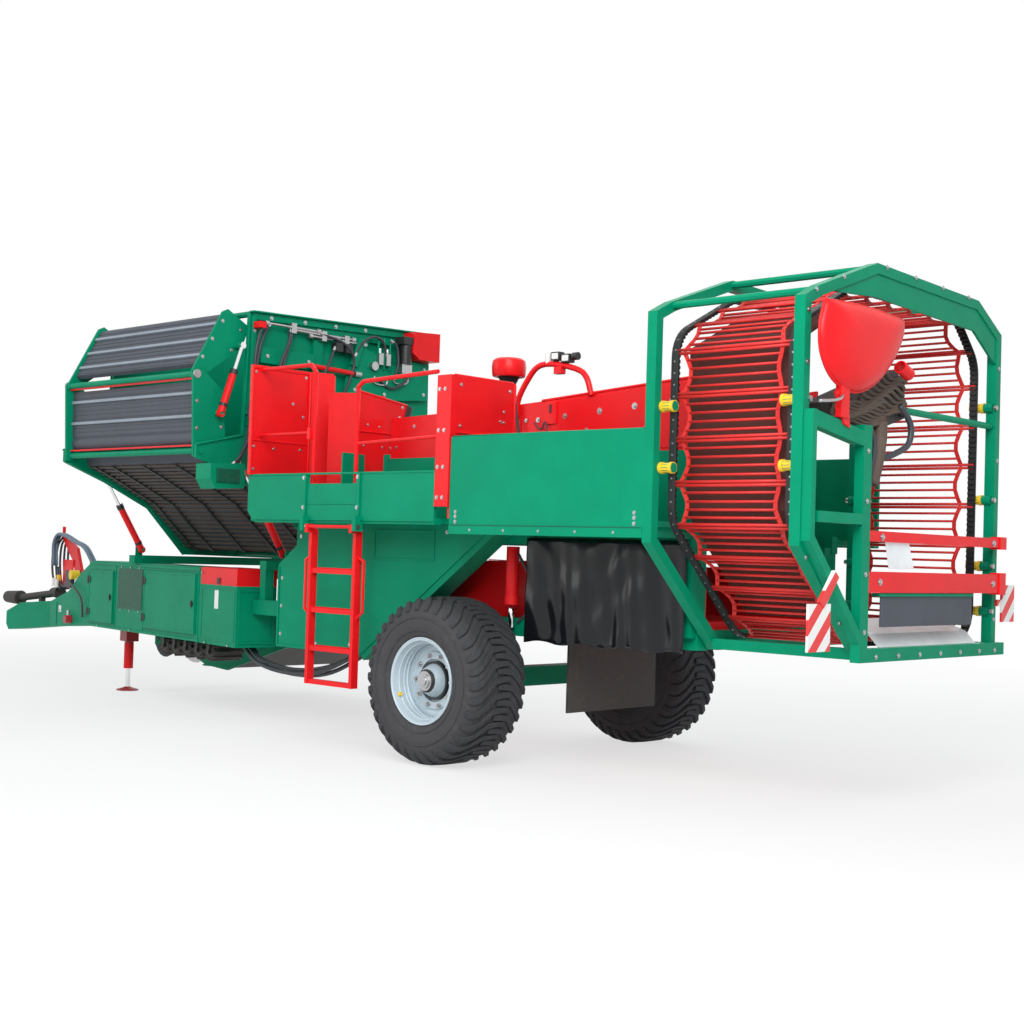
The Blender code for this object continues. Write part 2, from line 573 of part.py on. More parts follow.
# ---------------------------------------------------------------- bunker and unloading elevator
def bunker():
    """Hopper with three walls and a sloping one, hung on two pins at its right side."""
    outline = [
        (BUNKER_PIVOT[0] - 0.05, BUNKER_PIVOT[1] - 0.06),
        (0.12, 1.56),
        (0.60, 2.05),
        (1.13, 2.30),
        (KNEE_LOW[0] + 0.05, KNEE_LOW[1] - 0.06),
        (KNEE_LOW[0] + 0.05, KNEE_LOW[1] + 0.06),
        (1.12, 2.72),
        (1.08, 3.90),
        (0.98, HEIGHT - 0.06),
        (-1.27, HEIGHT),
        (-1.29, 2.60),
    ]
    walls = [
        prism("X", outline, BUNKER_X0, BUNKER_X0 + BUNKER_T),
        prism("X", outline, BUNKER_X1 - BUNKER_T, BUNKER_X1),
    ]
    ends = (BUNKER_X0 + 0.01, BUNKER_X1 - 0.01)
    right = prism("X", [(-1.28, 2.50), (-1.25, 2.50), (-1.24, HEIGHT - 0.01), (-1.27, HEIGHT - 0.01)], *ends)
    slope = prism("X", [(-0.62, 1.79), (-0.60, 1.82), (-1.25, 2.53), (-1.28, 2.50)], *ends)
    bosses = [boss(BUNKER_X0 + 0.01, LIFT_X[REAR_BEAM_X], LIFT_EYE), boss(BUNKER_X1 - 0.01, LIFT_X[FRONT_BEAM_X], LIFT_EYE)]
    lips = [tube([(ends[0], y, z), (ends[1], y, z)], 0.03, 8) for y, z in ((1.04, HEIGHT - 0.10), (-0.60, 1.60))]
    holes = [
        disc("X", (0, *BUNKER_PIVOT), BUNKER_PIN_R + PIN_CLEAR, 2.9, 5.4),
        disc("X", (0, *KNEE_LOW), KNEE_R + PIN_CLEAR, 2.9, 5.4),
    ]
    node("bunker", "green_paint", walls + [right, slope, *lips, *bosses], holes, origin=(0, *BUNKER_PIVOT))
    floor = [
        (-0.56, 1.66),
        (0.10, 1.64),
        (0.62, 2.11),
        (1.16, 2.37),
        (1.36, 2.46),
        (1.38, 2.55),
        (1.30, 2.57),
        (0.55, 2.22),
        (0.03, 1.78),
        (-0.56, 1.78),
    ]
    inner = (BUNKER_X0 + BUNKER_T + GAP, BUNKER_X1 - BUNKER_T - GAP)
    node("bunker_belt", "belt_rubber", [prism("X", floor, *inner)])


def bunker_boxes():
    """The lamp's box at the lower knee and the cover over the web's drive, on the bunker's rear wall."""
    wall = BUNKER_X0 - GAP
    side = [(1.24, 2.44), (1.62, 2.42), (1.62, 2.28), (1.56, 2.19), (1.24, 2.21)]
    node("lamp_box", "green_paint", [prism("X", side, wall - 0.23, wall)], origin=(0, *BUNKER_PIVOT))
    cover = [(-1.24, HEIGHT - 0.02), (-0.88, HEIGHT - 0.04), (-0.86, 3.72), (-0.96, 3.66), (-1.24, 3.66)]
    node("drive_cover", "red_paint", [prism("X", cover, wall - 0.20, wall)], origin=(0, *BUNKER_PIVOT))


def elevator_plates(outline, step):
    """A pair of side plates, each this many steps inside the bunker's walls."""
    low = BUNKER_X0 + BUNKER_T + 0.01 + step * PLATE_STEP
    high = BUNKER_X1 - BUNKER_T - 0.01 - step * PLATE_STEP
    return [prism("X", outline, low, low + PLATE_T), prism("X", outline, high - PLATE_T, high)]


def cross_tube(place, step, radius, sides=12):
    low = BUNKER_X0 + BUNKER_T + 0.01 + step * PLATE_STEP
    high = BUNKER_X1 - BUNKER_T - 0.01 - step * PLATE_STEP
    return tube([(low + 0.005, *place), (high - 0.005, *place)], radius, sides)


def elevator():
    """Unloading elevator in two folding sections, each with side plates and its length of belt."""
    low_y, low_z = KNEE_LOW
    high_y, high_z = KNEE_HIGH
    section = [
        (low_y + 0.05, low_z - 0.05),
        (high_y + 0.04, high_z - 0.02),
        (high_y + 0.02, high_z + 0.04),
        (high_y - 0.06, high_z + 0.05),
        (1.32, 3.12),
        (1.28, 2.70),
        (low_y - 0.06, low_z - 0.05),
    ]
    pin = tube([(BUNKER_X0 - 0.015, *KNEE_LOW), (BUNKER_X1 + 0.015, *KNEE_LOW)], KNEE_R, 16)
    foot_pin = disc("X", (0, *TIP_FOOT), RAM_PIN_R, TIP_X - 0.026, BUNKER_X0 + BUNKER_T + 0.02, 12)
    pieces = [pin, *elevator_plates(section, 0), cross_tube(KNEE_HIGH, 0, KNEE_R, 16), cross_tube((1.36, 3.08), 0, 0.02)]
    pieces.append(foot_pin)
    node("elevator_lower", "green_paint", pieces, origin=(0, *KNEE_LOW))
    lower_belt = [
        (1.45, 2.63),
        (1.53, 2.66),
        (1.57, 2.74),
        (1.575, 3.19),
        (1.46, 3.19),
        (1.41, 2.80),
        (1.40, 2.68),
    ]
    inside = (BUNKER_X0 + BUNKER_T + 0.01 + PLATE_T + GAP, BUNKER_X1 - BUNKER_T - 0.01 - PLATE_T - GAP)
    node("elevator_lower_belt", "belt_rubber", [prism("X", lower_belt, *inside)], origin=(0, *KNEE_LOW))
    tip = [
        (high_y + 0.03, high_z - 0.03),
        (high_y + 0.03, high_z + 0.03),
        (1.33, 3.87),
        (1.27, 3.90),
        (1.02, 3.76),
        (1.10, 3.55),
        (1.40, 3.34),
        (high_y - 0.06, high_z - 0.03),
    ]
    hole = disc("X", (0, *KNEE_HIGH), KNEE_R + PIN_CLEAR, 2.9, 5.4)
    pieces = [*elevator_plates(tip, 1), cross_tube((1.10, 3.70), 1, 0.025)]
    pieces.append(boss(BUNKER_X0 + BUNKER_T + PLATE_STEP + 0.02, TIP_X, TIP_EYE))
    node("elevator_tip", "green_paint", pieces, [hole], origin=(0, *KNEE_HIGH))
    tip_belt = [(1.545, 3.325), (1.57, 3.36), (1.315, 3.83), (1.27, 3.86), (1.20, 3.83), (1.20, 3.76), (1.45, 3.36)]
    inside = (inside[0] + PLATE_STEP, inside[1] - PLATE_STEP)
    node("elevator_tip_belt", "belt_rubber", [prism("X", tip_belt, *inside)], origin=(0, *KNEE_HIGH))


def ram(name, x, foot, eye, body_length):
    """A hydraulic ram across X: its barrel turns on the foot's pin and its rod ends beside its boss."""
    start, end = Vector((x, *foot)), Vector((x, *eye))
    run = (end - start).normalized()
    neck = start + run * body_length
    lug = disc("X", start, CYL_R, -RAM_HALF, RAM_HALF, 12)
    barrel = tube([start + run * 0.01, neck], CYL_R, 12)
    bore = tube([start + run * 0.06, neck + run * 0.1], ROD_R + PIN_CLEAR, 12)
    pin_hole = disc("X", start, RAM_PIN_R + PIN_CLEAR, -0.1, 0.1, 16)
    node(f"{name}_barrel", "red_paint", [lug, barrel], [bore, pin_hole], origin=start)
    rod = tube([start + run * 0.10, end - run * 0.01], ROD_R, 12)
    knob = disc("X", end, 0.032, -RAM_HALF + 0.002, RAM_HALF - 0.002, 12)
    node(f"{name}_rod", "chrome", [rod, knob], origin=end)


def boss(x_from, x_ram, place):
    """The boss beside a ram's rod eye, from inside its carrier to a hair from the eye."""
    near = x_ram + (RAM_HALF - 0.002 + 2 * GAP) * (1 if x_from > x_ram else -1)
    return disc("X", (0, *place), 0.025, *sorted((x_from, near)), 12)


# ---------------------------------------------------------------- ring elevator
RING = [  # the cage's outline, (Y, Z), from its lowest left corner round by the left
    (0.80, RING_BOTTOM),
    (SIDE_Y, 1.79),
    (SIDE_Y, 3.37),
    (1.42, 3.46),
    (0.72, 3.71),
    (-0.77, 3.67),
    (RING_RIGHT_Y, 3.46),
    (RING_RIGHT_Y, RING_BOTTOM),
]
WEB = [(0.66, 1.125), (1.49, 1.93), (1.49, 3.22), (0.82, 3.56), (-0.72, 3.56), (-1.05, 3.25), (-1.05, 1.125)]


def ring_frame(end, x0, x1, roller_reach):
    """One end of the cage, with the stub rollers that guide the web."""
    pieces = [band("X", RING, inset(RING, RING_BAR), x0, x1)]
    if end == "rear":
        rails = [(1.41, 3.43), (0.72, 3.675), (-0.77, 3.635), (0.82, 1.10), (-1.10, 1.10)]
        for y, z in rails:
            reach = RING_FRONT_X - RING_DEPTH - GAP
            if z < 2:
                pieces.append(box(x1 - 0.02, reach, y - 0.035, y + 0.035, 1.05, WEB[0][1] - GAP))
            else:
                pieces.append(tube([(x1 - 0.02, y, z), (reach, y, z)], 0.026, 8))
        gable = [(1.30, 3.44), (0.72, 3.66), (-0.76, 3.62), (-1.10, 3.44), (-1.10, 3.22), (-0.72, 3.44), (0.72, 3.48)]
        pieces.append(prism("X", gable, x0 + 0.01, x0 + 0.03))
        pieces.append(tube([(x0 + 0.04, RING_RIGHT_Y + 0.02, 2.76), (x0 + 0.04, BUNDLE_Y - GAP, 2.76)], 0.025, 10))
    for y, z in ROLLERS:
        low, high = sorted((x0 + 0.02, roller_reach)) if end == "rear" else sorted((x1 - 0.02, roller_reach))
        pieces.append(disc("X", (0, y, z), ROLLER_R, low, high, 10))
    node(f"ring_frame_{end}", "green_paint", pieces)


BUNDLE_Y = 0.28  # right edge of the hoses that hang in the ring
ROLLER_R = 0.035
ROLLERS = [  # (Y, Z) of the rollers that touch the web's outer side
    (1.49 + ROLLER_R + GAP, 2.72),
    (1.49 + ROLLER_R + GAP, 2.30),
    (-1.05 - ROLLER_R - GAP, 2.90),
    (-1.05 - ROLLER_R - GAP, 2.20),
    (-1.05 - ROLLER_R - GAP, 1.70),
    (-1.05 - ROLLER_R - GAP, 1.36),
]


def ring():
    """The cage, the closed web that runs round in it and what stands inside it."""
    ring_frame("rear", RING_REAR_X, RING_REAR_X + RING_DEPTH, WEB_X0 + 0.08)
    ring_frame("front", RING_FRONT_X - RING_DEPTH, RING_FRONT_X, WEB_X1 - 0.08)
    outer = rounded(WEB, 0.26, 3)
    node("ring_web", "web_steel", [band("X", outer, inset(outer, WEB_T), WEB_X0, WEB_X1)])
    x0 = RING_REAR_X - GAP - 0.07
    x1 = RING_REAR_X - GAP
    post = box(x0, x1, 0.86, 0.96, RING_BOTTOM, 2.60)
    top = beam((x0 + 0.035, SIDE_Y - 0.02, 2.60), (x0 + 0.035, 0.90, 2.50), 0.07, 0.10)
    brace = beam((x0 + 0.035, 1.50, 1.98), (x0 + 0.035, 0.91, 1.98), 0.07, 0.07)
    left = beam((x0 + 0.035, 1.565, 2.65), (x0 + 0.035, 1.565, 1.82), 0.07, 0.05, (1, 0, 0))
    foot = beam((x0 + 0.035, 1.565, 1.84), (x0 + 0.035, 0.90, 1.14), 0.07, 0.06, (1, 0, 0))
    sill = box(x0, x1, RING_RIGHT_Y, 0.92, RING_BOTTOM, RING_BOTTOM + 0.09)
    node("ring_inner_frame", "green_paint", [post, top, brace, left, foot, sill])
    right_y = RING_RIGHT_Y + 0.03
    for name, z, h in (("crossbeam_upper", 1.84, 0.07), ("crossbeam_lower", 1.50, 0.14)):
        node(name, "red_paint", [box(x0, x1, right_y, 0.86 - GAP, z, z + h)])
    low = RING_BOTTOM + RING_BAR + GAP
    chute = [(x1 + 0.005, low), (x1 + 0.09, low + 0.09), (x1 + 0.34, low + 0.18)]
    chute += [(x, z + 0.015) for x, z in reversed(chute)]
    node("chute_plate", "white_sheet", [prism("Y", chute, -0.85, 0.56)])
    flap = box(x0 + 0.02, x0 + 0.03, -0.66, 0.66, 1.27, 1.50 - GAP)
    node("ring_rubber_flap", "belt_rubber", [flap])
    motor_cover(x1)


def motor_cover(back_x):
    """Half-bowl guard over the web's drive, on its bracket."""
    middle = (1.10, 3.12)
    outline = [(1.52, 3.36), (1.56, 3.05), (1.40, 2.86), (1.05, 2.80), (0.72, 3.00), (0.50, 3.36)]
    reach = back_x - REAR_X
    depth = [(0.0, 1.0), (0.6 * reach, 0.93), (0.85 * reach, 0.72), (reach, 0.40)]
    points, count = [], len(outline)
    for back, scale in depth:
        for y, z in outline:
            points.append((back_x - back, middle[0] + (y - middle[0]) * scale, middle[1] + (z - middle[1]) * scale))
    faces = [tuple(range(count)), tuple(range(3 * count, 4 * count))]
    for row in range(3):
        for i in range(count):
            j = (i + 1) % count
            a, b = row * count, (row + 1) * count
            faces.append((a + i, a + j, b + j, b + i))
    node("motor_cover", "red_paint", [shape(points, faces)], smooth=60)
    bundle = [(0.55, 2.62), (1.20, 2.60), (1.30, 2.72), (0.95, 2.84), (0.42, 3.02), (BUNDLE_Y, 2.95), (BUNDLE_Y, 2.70)]
    node("hose_bundle", "dark_flap", [prism("X", bundle, RING_REAR_X + 0.02, RING_REAR_X + 0.20)])


def warning_boards():
    """Blank striped boards behind the cage, left and right."""
    arm_x = RING_REAR_X - GAP - 0.07 - GAP
    left_arm = beam((arm_x - 0.012, 1.30, 1.62), (arm_x - 0.012, 1.47, 1.42), 0.024, 0.07)
    left = box(arm_x - 0.020, arm_x - 0.004, 1.36, 1.62, 1.13, 1.43)
    node("warning_board_left", "board_film", [left, left_arm])
    right = box(RING_REAR_X - 0.03, RING_REAR_X - 0.014, -1.41, -1.20, 1.28, 1.56)
    stem = box(RING_REAR_X - 0.02, RING_REAR_X - GAP, -1.24, RING_RIGHT_Y + 0.02, 1.40, 1.45)
    node("warning_board_right", "board_film", [right, stem])


# ---------------------------------------------------------------- sides, deck and picking table
def side_panels():
    """The long upper panels on both sides, with the edge beam below them."""
    for side, sign in (("left", 1), ("right", -1)):
        low, high = sorted((sign * SIDE_Y, sign * (SIDE_Y - SHEET)))
        inner, outer = sorted((sign * (SIDE_Y - 0.07), sign * (SIDE_Y + 0.003)))
        x1 = PANEL_X1 if sign > 0 else DECK_X1
        pieces = [box(PANEL_X0, x1, low, high, PANEL_Z0 - 0.01, PANEL_Z1)]
        pieces.append(box(PANEL_X0, x1, inner, outer, PANEL_Z0 - 0.065, PANEL_Z0))
        for x in (PANEL_X0 + 0.06, (PANEL_X0 + x1) / 2, x1 - 0.30):
            tip, root = sorted((sign * (DECK_RAIL_Y1 + GAP), sign * (SIDE_Y - 0.03)))
            pieces.append(box(x - 0.03, x + 0.03, tip, root, PANEL_Z0 - 0.055, PANEL_Z0 - 0.01))
        node(f"side_panel_{side}", "green_paint", pieces)


def deck():
    """The pickers' platform: floor, kick panel and the two hangers of the ladder."""
    floor = box(PANEL_X0, DECK_X1, DECK_Y0, SIDE_Y - 0.01 - SHEET, DECK_Z0, DECK_Z1)
    kick = [
        (DECK_X0, DECK_Z0 + 0.01),
        (DECK_X0, KICK_TOP),
        (LADDER_X0, KICK_TOP),
        (LADDER_X0, 2.22),
        (LADDER_X1 + 0.04, 2.22),
        (LADDER_X1 + 0.04, KICK_TOP),
        (DECK_X1, KICK_TOP),
        (DECK_X1, DECK_Z0 + 0.09),
        (DECK_X1 - 0.08, DECK_Z0 + 0.01),
    ]
    panel = prism("Y", kick, SIDE_Y - SHEET, SIDE_Y)
    lip = box(DECK_X0, DECK_X1 - 0.09, SIDE_Y - 0.09, SIDE_Y - 0.01, DECK_Z0 - 0.01, DECK_Z1 - 0.002)
    cut = box(PANEL_X0 - 1, DECK_X0 - 0.002, SIDE_Y - 0.12, SIDE_Y + 1, DECK_Z0 - 0.1, DECK_Z1 + 0.1)
    hangers = []
    holes = [disc("X", (0, *LADDER_PIVOT), LADDER_PIN_R + PIN_CLEAR, 0.5, 1.6)]
    for x in (LADDER_X0 - 0.055, LADDER_X1 + 0.015):
        hangers.append(box(x, x + 0.04, SIDE_Y - SHEET + 0.005, HALF_WIDTH - 0.002, LADDER_PIVOT[1] - 0.035, DECK_Z0 + 0.05))
    node("deck", "green_paint", [floor, panel, lip, *hangers], [cut, *holes])


def ladder():
    """Folding ladder: flat rails, rungs, grab loops and its pivot tube."""
    y0, y1 = SIDE_Y - 0.075, SIDE_Y - 0.005
    bottom, top = 0.54, DECK_Z0 - 0.06
    pieces = []
    for x in (LADDER_X0, LADDER_X1 - 0.035):
        pieces.append(box(x, x + 0.035, y0, y1, bottom, top))
        pieces.append(box(x, x + 0.035, y0 + 0.02, LADDER_PIVOT[0] + 0.02, top - 0.03, LADDER_PIVOT[1] + 0.02))
    for z in (bottom + 0.02, 0.84, 1.16, 1.49):
        pieces.append(box(LADDER_X0 + 0.01, LADDER_X1 - 0.01, y0 + 0.01, y1 - 0.01, z - 0.02, z + 0.02))
    pieces.append(tube([(LADDER_X0 - 0.05, *LADDER_PIVOT), (LADDER_X1 + 0.05, *LADDER_PIVOT)], LADDER_PIN_R, 10))
    y = (y0 + y1) / 2
    for x, sign in ((LADDER_X0 + 0.02, -1), (LADDER_X1 - 0.02, 1)):
        loop = [(x, y, 1.62), (x + sign * 0.09, y, 1.58), (x + sign * 0.09, y, 1.17), (x, y, 1.10)]
        pieces.append(tube(loop, 0.013, 6))
    node("ladder", "red_paint", pieces, origin=(0, *LADDER_PIVOT))


def lower_panels():
    """Lower side panel in front of the left wheel, with the sloping edge over it."""
    side = [(2.26, 0.78), (2.26, 1.52), (2.01, 1.70), (2.01, DECK_Z0 - GAP), (-0.42, DECK_Z0 - GAP), (1.12, 0.78)]
    rim = [(1.12, 0.78), (-0.42, DECK_Z0 - GAP), (-0.52, DECK_Z0 - GAP), (1.08, 0.74)]
    panel = prism("Y", side, 1.17, 1.20)
    edge = prism("Y", rim, DECK_RAIL_Y1 + GAP, 1.19)
    tie = box(1.4, 1.5, RAIL_Y + RAIL_W + GAP, 1.18, 1.05, 1.15)
    node("lower_side_panel", "green_paint", [panel, edge, tie])


def picking_table():
    """Trough of the picking table, the belt in it and the sorters' shields."""
    x0, x1 = TROUGH_X0, TROUGH_X1
    y0, y1 = TROUGH_Y0, TROUGH_Y1
    walls = []
    for low in (y0, y1 - SHEET):
        walls.append(box(x0, x1, low, low + SHEET, TROUGH_Z0, 2.50))
    shelf = box(x0, x1, y0 + 0.01, y1 - 0.01, 2.20, 2.24)
    node("table_trough", "green_paint", walls + [shelf])
    rise = [(x0, 2.50 + GAP), (x1 - 0.05, 2.50 + GAP), (x1 - 0.05, 2.86), (0.2, 2.90), (-0.35, 2.93), (x0, 3.06)]
    for side, low in (("left", y1 - SHEET), ("right", y0)):
        node(f"table_wall_{side}", "red_paint", [prism("Y", rise, low, low + SHEET)])
    belt = rounded([(x0 + 0.02, 2.26), (x1 - 0.02, 2.26), (x1 - 0.02, 2.40), (x0 + 0.02, 2.40)], 0.06, 3)
    node("picking_belt", "belt_rubber", [prism("Y", belt, y0 + SHEET + GAP, y1 - SHEET - GAP)])


def shields():
    """Front and rear shields of the deck, and the cover at the end of the table."""
    front = [(2.19, 1.57 - GAP), (2.16, 1.57 - GAP), (2.16, 0.99), (2.06, 0.80), (2.09, 0.785), (2.19, 0.97)]
    y = SIDE_Y - SHEET - 0.03
    rail = tube([(2.175, y, 3.24), (1.47, y, 3.24), (1.40, y, 3.17), (1.40, y, DECK_Z1 + GAP)], 0.018, 8)
    middle = tube([(2.175, y, 2.66), (1.40, y, 2.66)], 0.014, 8)
    wing = box(2.161, 2.189, 1.50, SIDE_Y + 0.04, KICK_TOP + 0.006, 3.279)
    node("front_shield", "red_paint", [prism("Z", front, DECK_Z1 + GAP, 3.28), wing, rail, middle])
    panel = box(-0.31, -0.28, 0.88, SIDE_Y - 0.02, DECK_Z1 + GAP, 3.05)
    column = box(-0.315, DECK_X0 - 0.01, SIDE_Y - 0.05, SIDE_Y + 0.012, 2.03, 3.05)
    node("rear_shield", "red_paint", [panel, column], [box(-0.33, -0.31, 0.6, 1.7, 1.9, 2.58)])
    cover = [(1.52, 0.64), (1.55, 0.64), (1.55, 0.93), (1.75, 1.10), (1.73, 1.12), (1.52, 0.96)]
    leg = [prism("Z", cover, DECK_Z1 + GAP, 2.56)]
    face = prism("X", [(0.50, 2.55), (0.95, 2.50), (0.95, 3.08), (0.36, 3.00)], 1.52, 1.55)
    side = prism("Z", cover, 2.50, 3.06)
    node("table_hood", "red_paint", [side, face, *leg])


def handrail():
    """Tubular rail along the deck's outer edge, on its post."""
    y = SIDE_Y - SHEET - 0.02
    rail = tube([(0.84, y, DECK_Z1 + GAP), (0.84, y, 3.02), (0.78, y, 3.06), (-0.10, y, 3.09)], 0.018, 8)
    middle = tube([(0.84, y, 2.55), (-0.13, y, 2.58)], 0.014, 8)
    node("handrail", "red_paint", [rail, middle])


def soft_parts():
    """The hanging curtain behind the left wheel and the flap behind the axle."""
    y = DECK_RAIL_Y1 + GAP
    curtain = box(FRAME_REAR_X + 0.02, -0.60, y, y + 0.02, 1.00, 1.815)
    node("curtain", "curtain_film", [curtain])
    x = CROSS_X[1] - 0.035 - GAP
    node("axle_flap", "dark_flap", [box(x - 0.02, x, -0.35, 0.76, 0.45, RAIL_Z1 - 0.02)])


def main():
    for obj in list(bpy.data.objects):
        bpy.data.objects.remove(obj)
    machine = empty("machine", (AXLE_X, 0, 0))
    frame = empty("housing_frame", (*BOX_FRONT, 0), -BOX_ANGLE, machine)
    for side, sign in (("left", 1), ("right", -1)):
        wheel(side, sign)
    axle()
    chassis()
    bunker_subframe()
    feed_channel()
    digger()
    housing(frame)
    jack(frame)
    drawbar()
    hose_rack(frame)
    bunker()
    bunker_boxes()
    elevator()
    for end, x in LIFT_X.items():
        ram("lift_ram_rear" if end == REAR_BEAM_X else "lift_ram_front", x, LIFT_FOOT, LIFT_EYE, 0.55)
    ram("tip_ram", TIP_X, TIP_FOOT, TIP_EYE, 0.44)
    ring()
    warning_boards()
    side_panels()
    deck()
    ladder()
    lower_panels()
    picking_table()
    shields()
    handrail()
    soft_parts()


main()
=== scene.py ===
"""The looks of the trailed potato harvester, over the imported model: camera, light, materials and the detail pieces.

Places are given in the machine's own frame, from the axle, as in the model's source; P() moves them to the row frame.
"""
import json
import random
from math import cos, pi, radians, sin, tan

import bmesh
import bpy
from mathutils import Matrix, Vector


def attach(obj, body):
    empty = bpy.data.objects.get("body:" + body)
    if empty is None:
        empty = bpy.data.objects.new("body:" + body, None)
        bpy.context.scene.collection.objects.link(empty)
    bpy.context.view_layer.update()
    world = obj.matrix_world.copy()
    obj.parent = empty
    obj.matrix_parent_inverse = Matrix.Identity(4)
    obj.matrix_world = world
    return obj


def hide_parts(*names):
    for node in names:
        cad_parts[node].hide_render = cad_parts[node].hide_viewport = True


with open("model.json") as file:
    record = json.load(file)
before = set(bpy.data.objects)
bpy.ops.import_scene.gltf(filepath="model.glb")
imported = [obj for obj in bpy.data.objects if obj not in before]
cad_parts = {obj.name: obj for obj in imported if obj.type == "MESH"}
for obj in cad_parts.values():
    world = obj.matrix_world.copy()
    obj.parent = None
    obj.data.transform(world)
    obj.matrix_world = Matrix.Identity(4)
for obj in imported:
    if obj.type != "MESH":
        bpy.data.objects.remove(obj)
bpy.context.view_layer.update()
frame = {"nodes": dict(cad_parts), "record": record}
nodes = frame["nodes"]

# ---------------------------------------------------------------- the machine's frame
AXLE_X = -2.86
GREEN, RED = (0.0, 0.25, 0.128), (0.80, 0.009, 0.013)


def P(x, y, z):
    return Vector((x + AXLE_X, y, z))


# ---------------------------------------------------------------- camera
YAW, PITCH, ROLL = radians(-46.866), radians(1.558), radians(1.781)
ahead = Vector((cos(YAW) * cos(PITCH), sin(YAW) * cos(PITCH), sin(PITCH)))
right = Vector((sin(YAW), -cos(YAW), 0))
up = right.cross(ahead)
tilted_right = right * cos(ROLL) + up * sin(ROLL)
tilted_up = up * cos(ROLL) - right * sin(ROLL)
camera_data = bpy.data.cameras.new("camera")
camera_data.lens = 52.72
camera_data.clip_end = 200
camera = bpy.data.objects.new("camera", camera_data)
bpy.context.scene.collection.objects.link(camera)
turn = Matrix((tilted_right, tilted_up, -ahead)).transposed().to_4x4()
camera.matrix_world = Matrix.Translation((-11.401, 9.668, 1.690)) @ turn
bpy.context.scene.camera = camera
bpy.context.scene.view_settings.view_transform = "Standard"


# ---------------------------------------------------------------- materials
def tree_of(name):
    made = bpy.data.materials.new(name)
    made.use_nodes = True
    tree = made.node_tree
    return made, tree, tree.nodes["Principled BSDF"]


def add(tree, kind, **sockets):
    made = tree.nodes.new(kind)
    for key, value in sockets.items():
        if isinstance(value, bpy.types.NodeSocket):
            tree.links.new(value, made.inputs[key])
        else:
            made.inputs[key].default_value = value
    return made


def surface(name, colour, roughness=0.4, metallic=0.0, dirt=0.15, dirt_colour=(0.20, 0.15, 0.10), scale=3.0, bump=0.02,
            grain=60.0, coat=0.0, spread=0.06, gloss=0.5):
    """Paint, rubber or metal with slow colour change, dust that gathers in patches and a fine grain."""
    made, tree, shader = tree_of(name)
    place = add(tree, "ShaderNodeTexCoord").outputs["Object"]
    slow = add(tree, "ShaderNodeTexNoise", Vector=place, Scale=scale, Detail=6.0, Roughness=0.6)
    fine = add(tree, "ShaderNodeTexNoise", Vector=place, Scale=grain, Detail=3.0)
    shade = tree.nodes.new("ShaderNodeValToRGB")
    low = tuple(c * (1 - spread) for c in colour)
    high = tuple(min(1, c * (1 + spread)) for c in colour)
    shade.color_ramp.elements[0].position, shade.color_ramp.elements[1].position = 0.35, 0.65
    shade.color_ramp.elements[0].color, shade.color_ramp.elements[1].color = (*low, 1), (*high, 1)
    tree.links.new(slow.outputs["Fac"], shade.inputs["Fac"])
    patches = add(tree, "ShaderNodeTexNoise", Vector=place, Scale=scale * 2.7, Detail=8.0, Roughness=0.7)
    mask = add(tree, "ShaderNodeMapRange", Value=patches.outputs["Fac"])
    mask.inputs["From Min"].default_value, mask.inputs["From Max"].default_value = 0.52, 0.80
    mask.inputs["To Max"].default_value = dirt
    mix = tree.nodes.new("ShaderNodeMix")
    mix.data_type = "RGBA"
    tree.links.new(mask.outputs["Result"], mix.inputs["Factor"])
    tree.links.new(shade.outputs["Color"], mix.inputs["A"])
    mix.inputs["B"].default_value = (*dirt_colour, 1)
    tree.links.new(mix.outputs["Result"], shader.inputs["Base Color"])
    rough = add(tree, "ShaderNodeMapRange", Value=patches.outputs["Fac"])
    rough.inputs["To Min"].default_value, rough.inputs["To Max"].default_value = roughness * 0.85, min(1, roughness * 1.3)
    tree.links.new(rough.outputs["Result"], shader.inputs["Roughness"])
    if bump:
        relief = add(tree, "ShaderNodeBump", Height=fine.outputs["Fac"], Strength=bump, Distance=0.01)
        tree.links.new(relief.outputs["Normal"], shader.inputs["Normal"])
    shader.inputs["Metallic"].default_value = metallic
    shader.inputs["Specular IOR Level"].default_value = gloss
    shader.inputs["Coat Weight"].default_value = coat
    shader.inputs["Coat Roughness"].default_value = 0.1
    return made


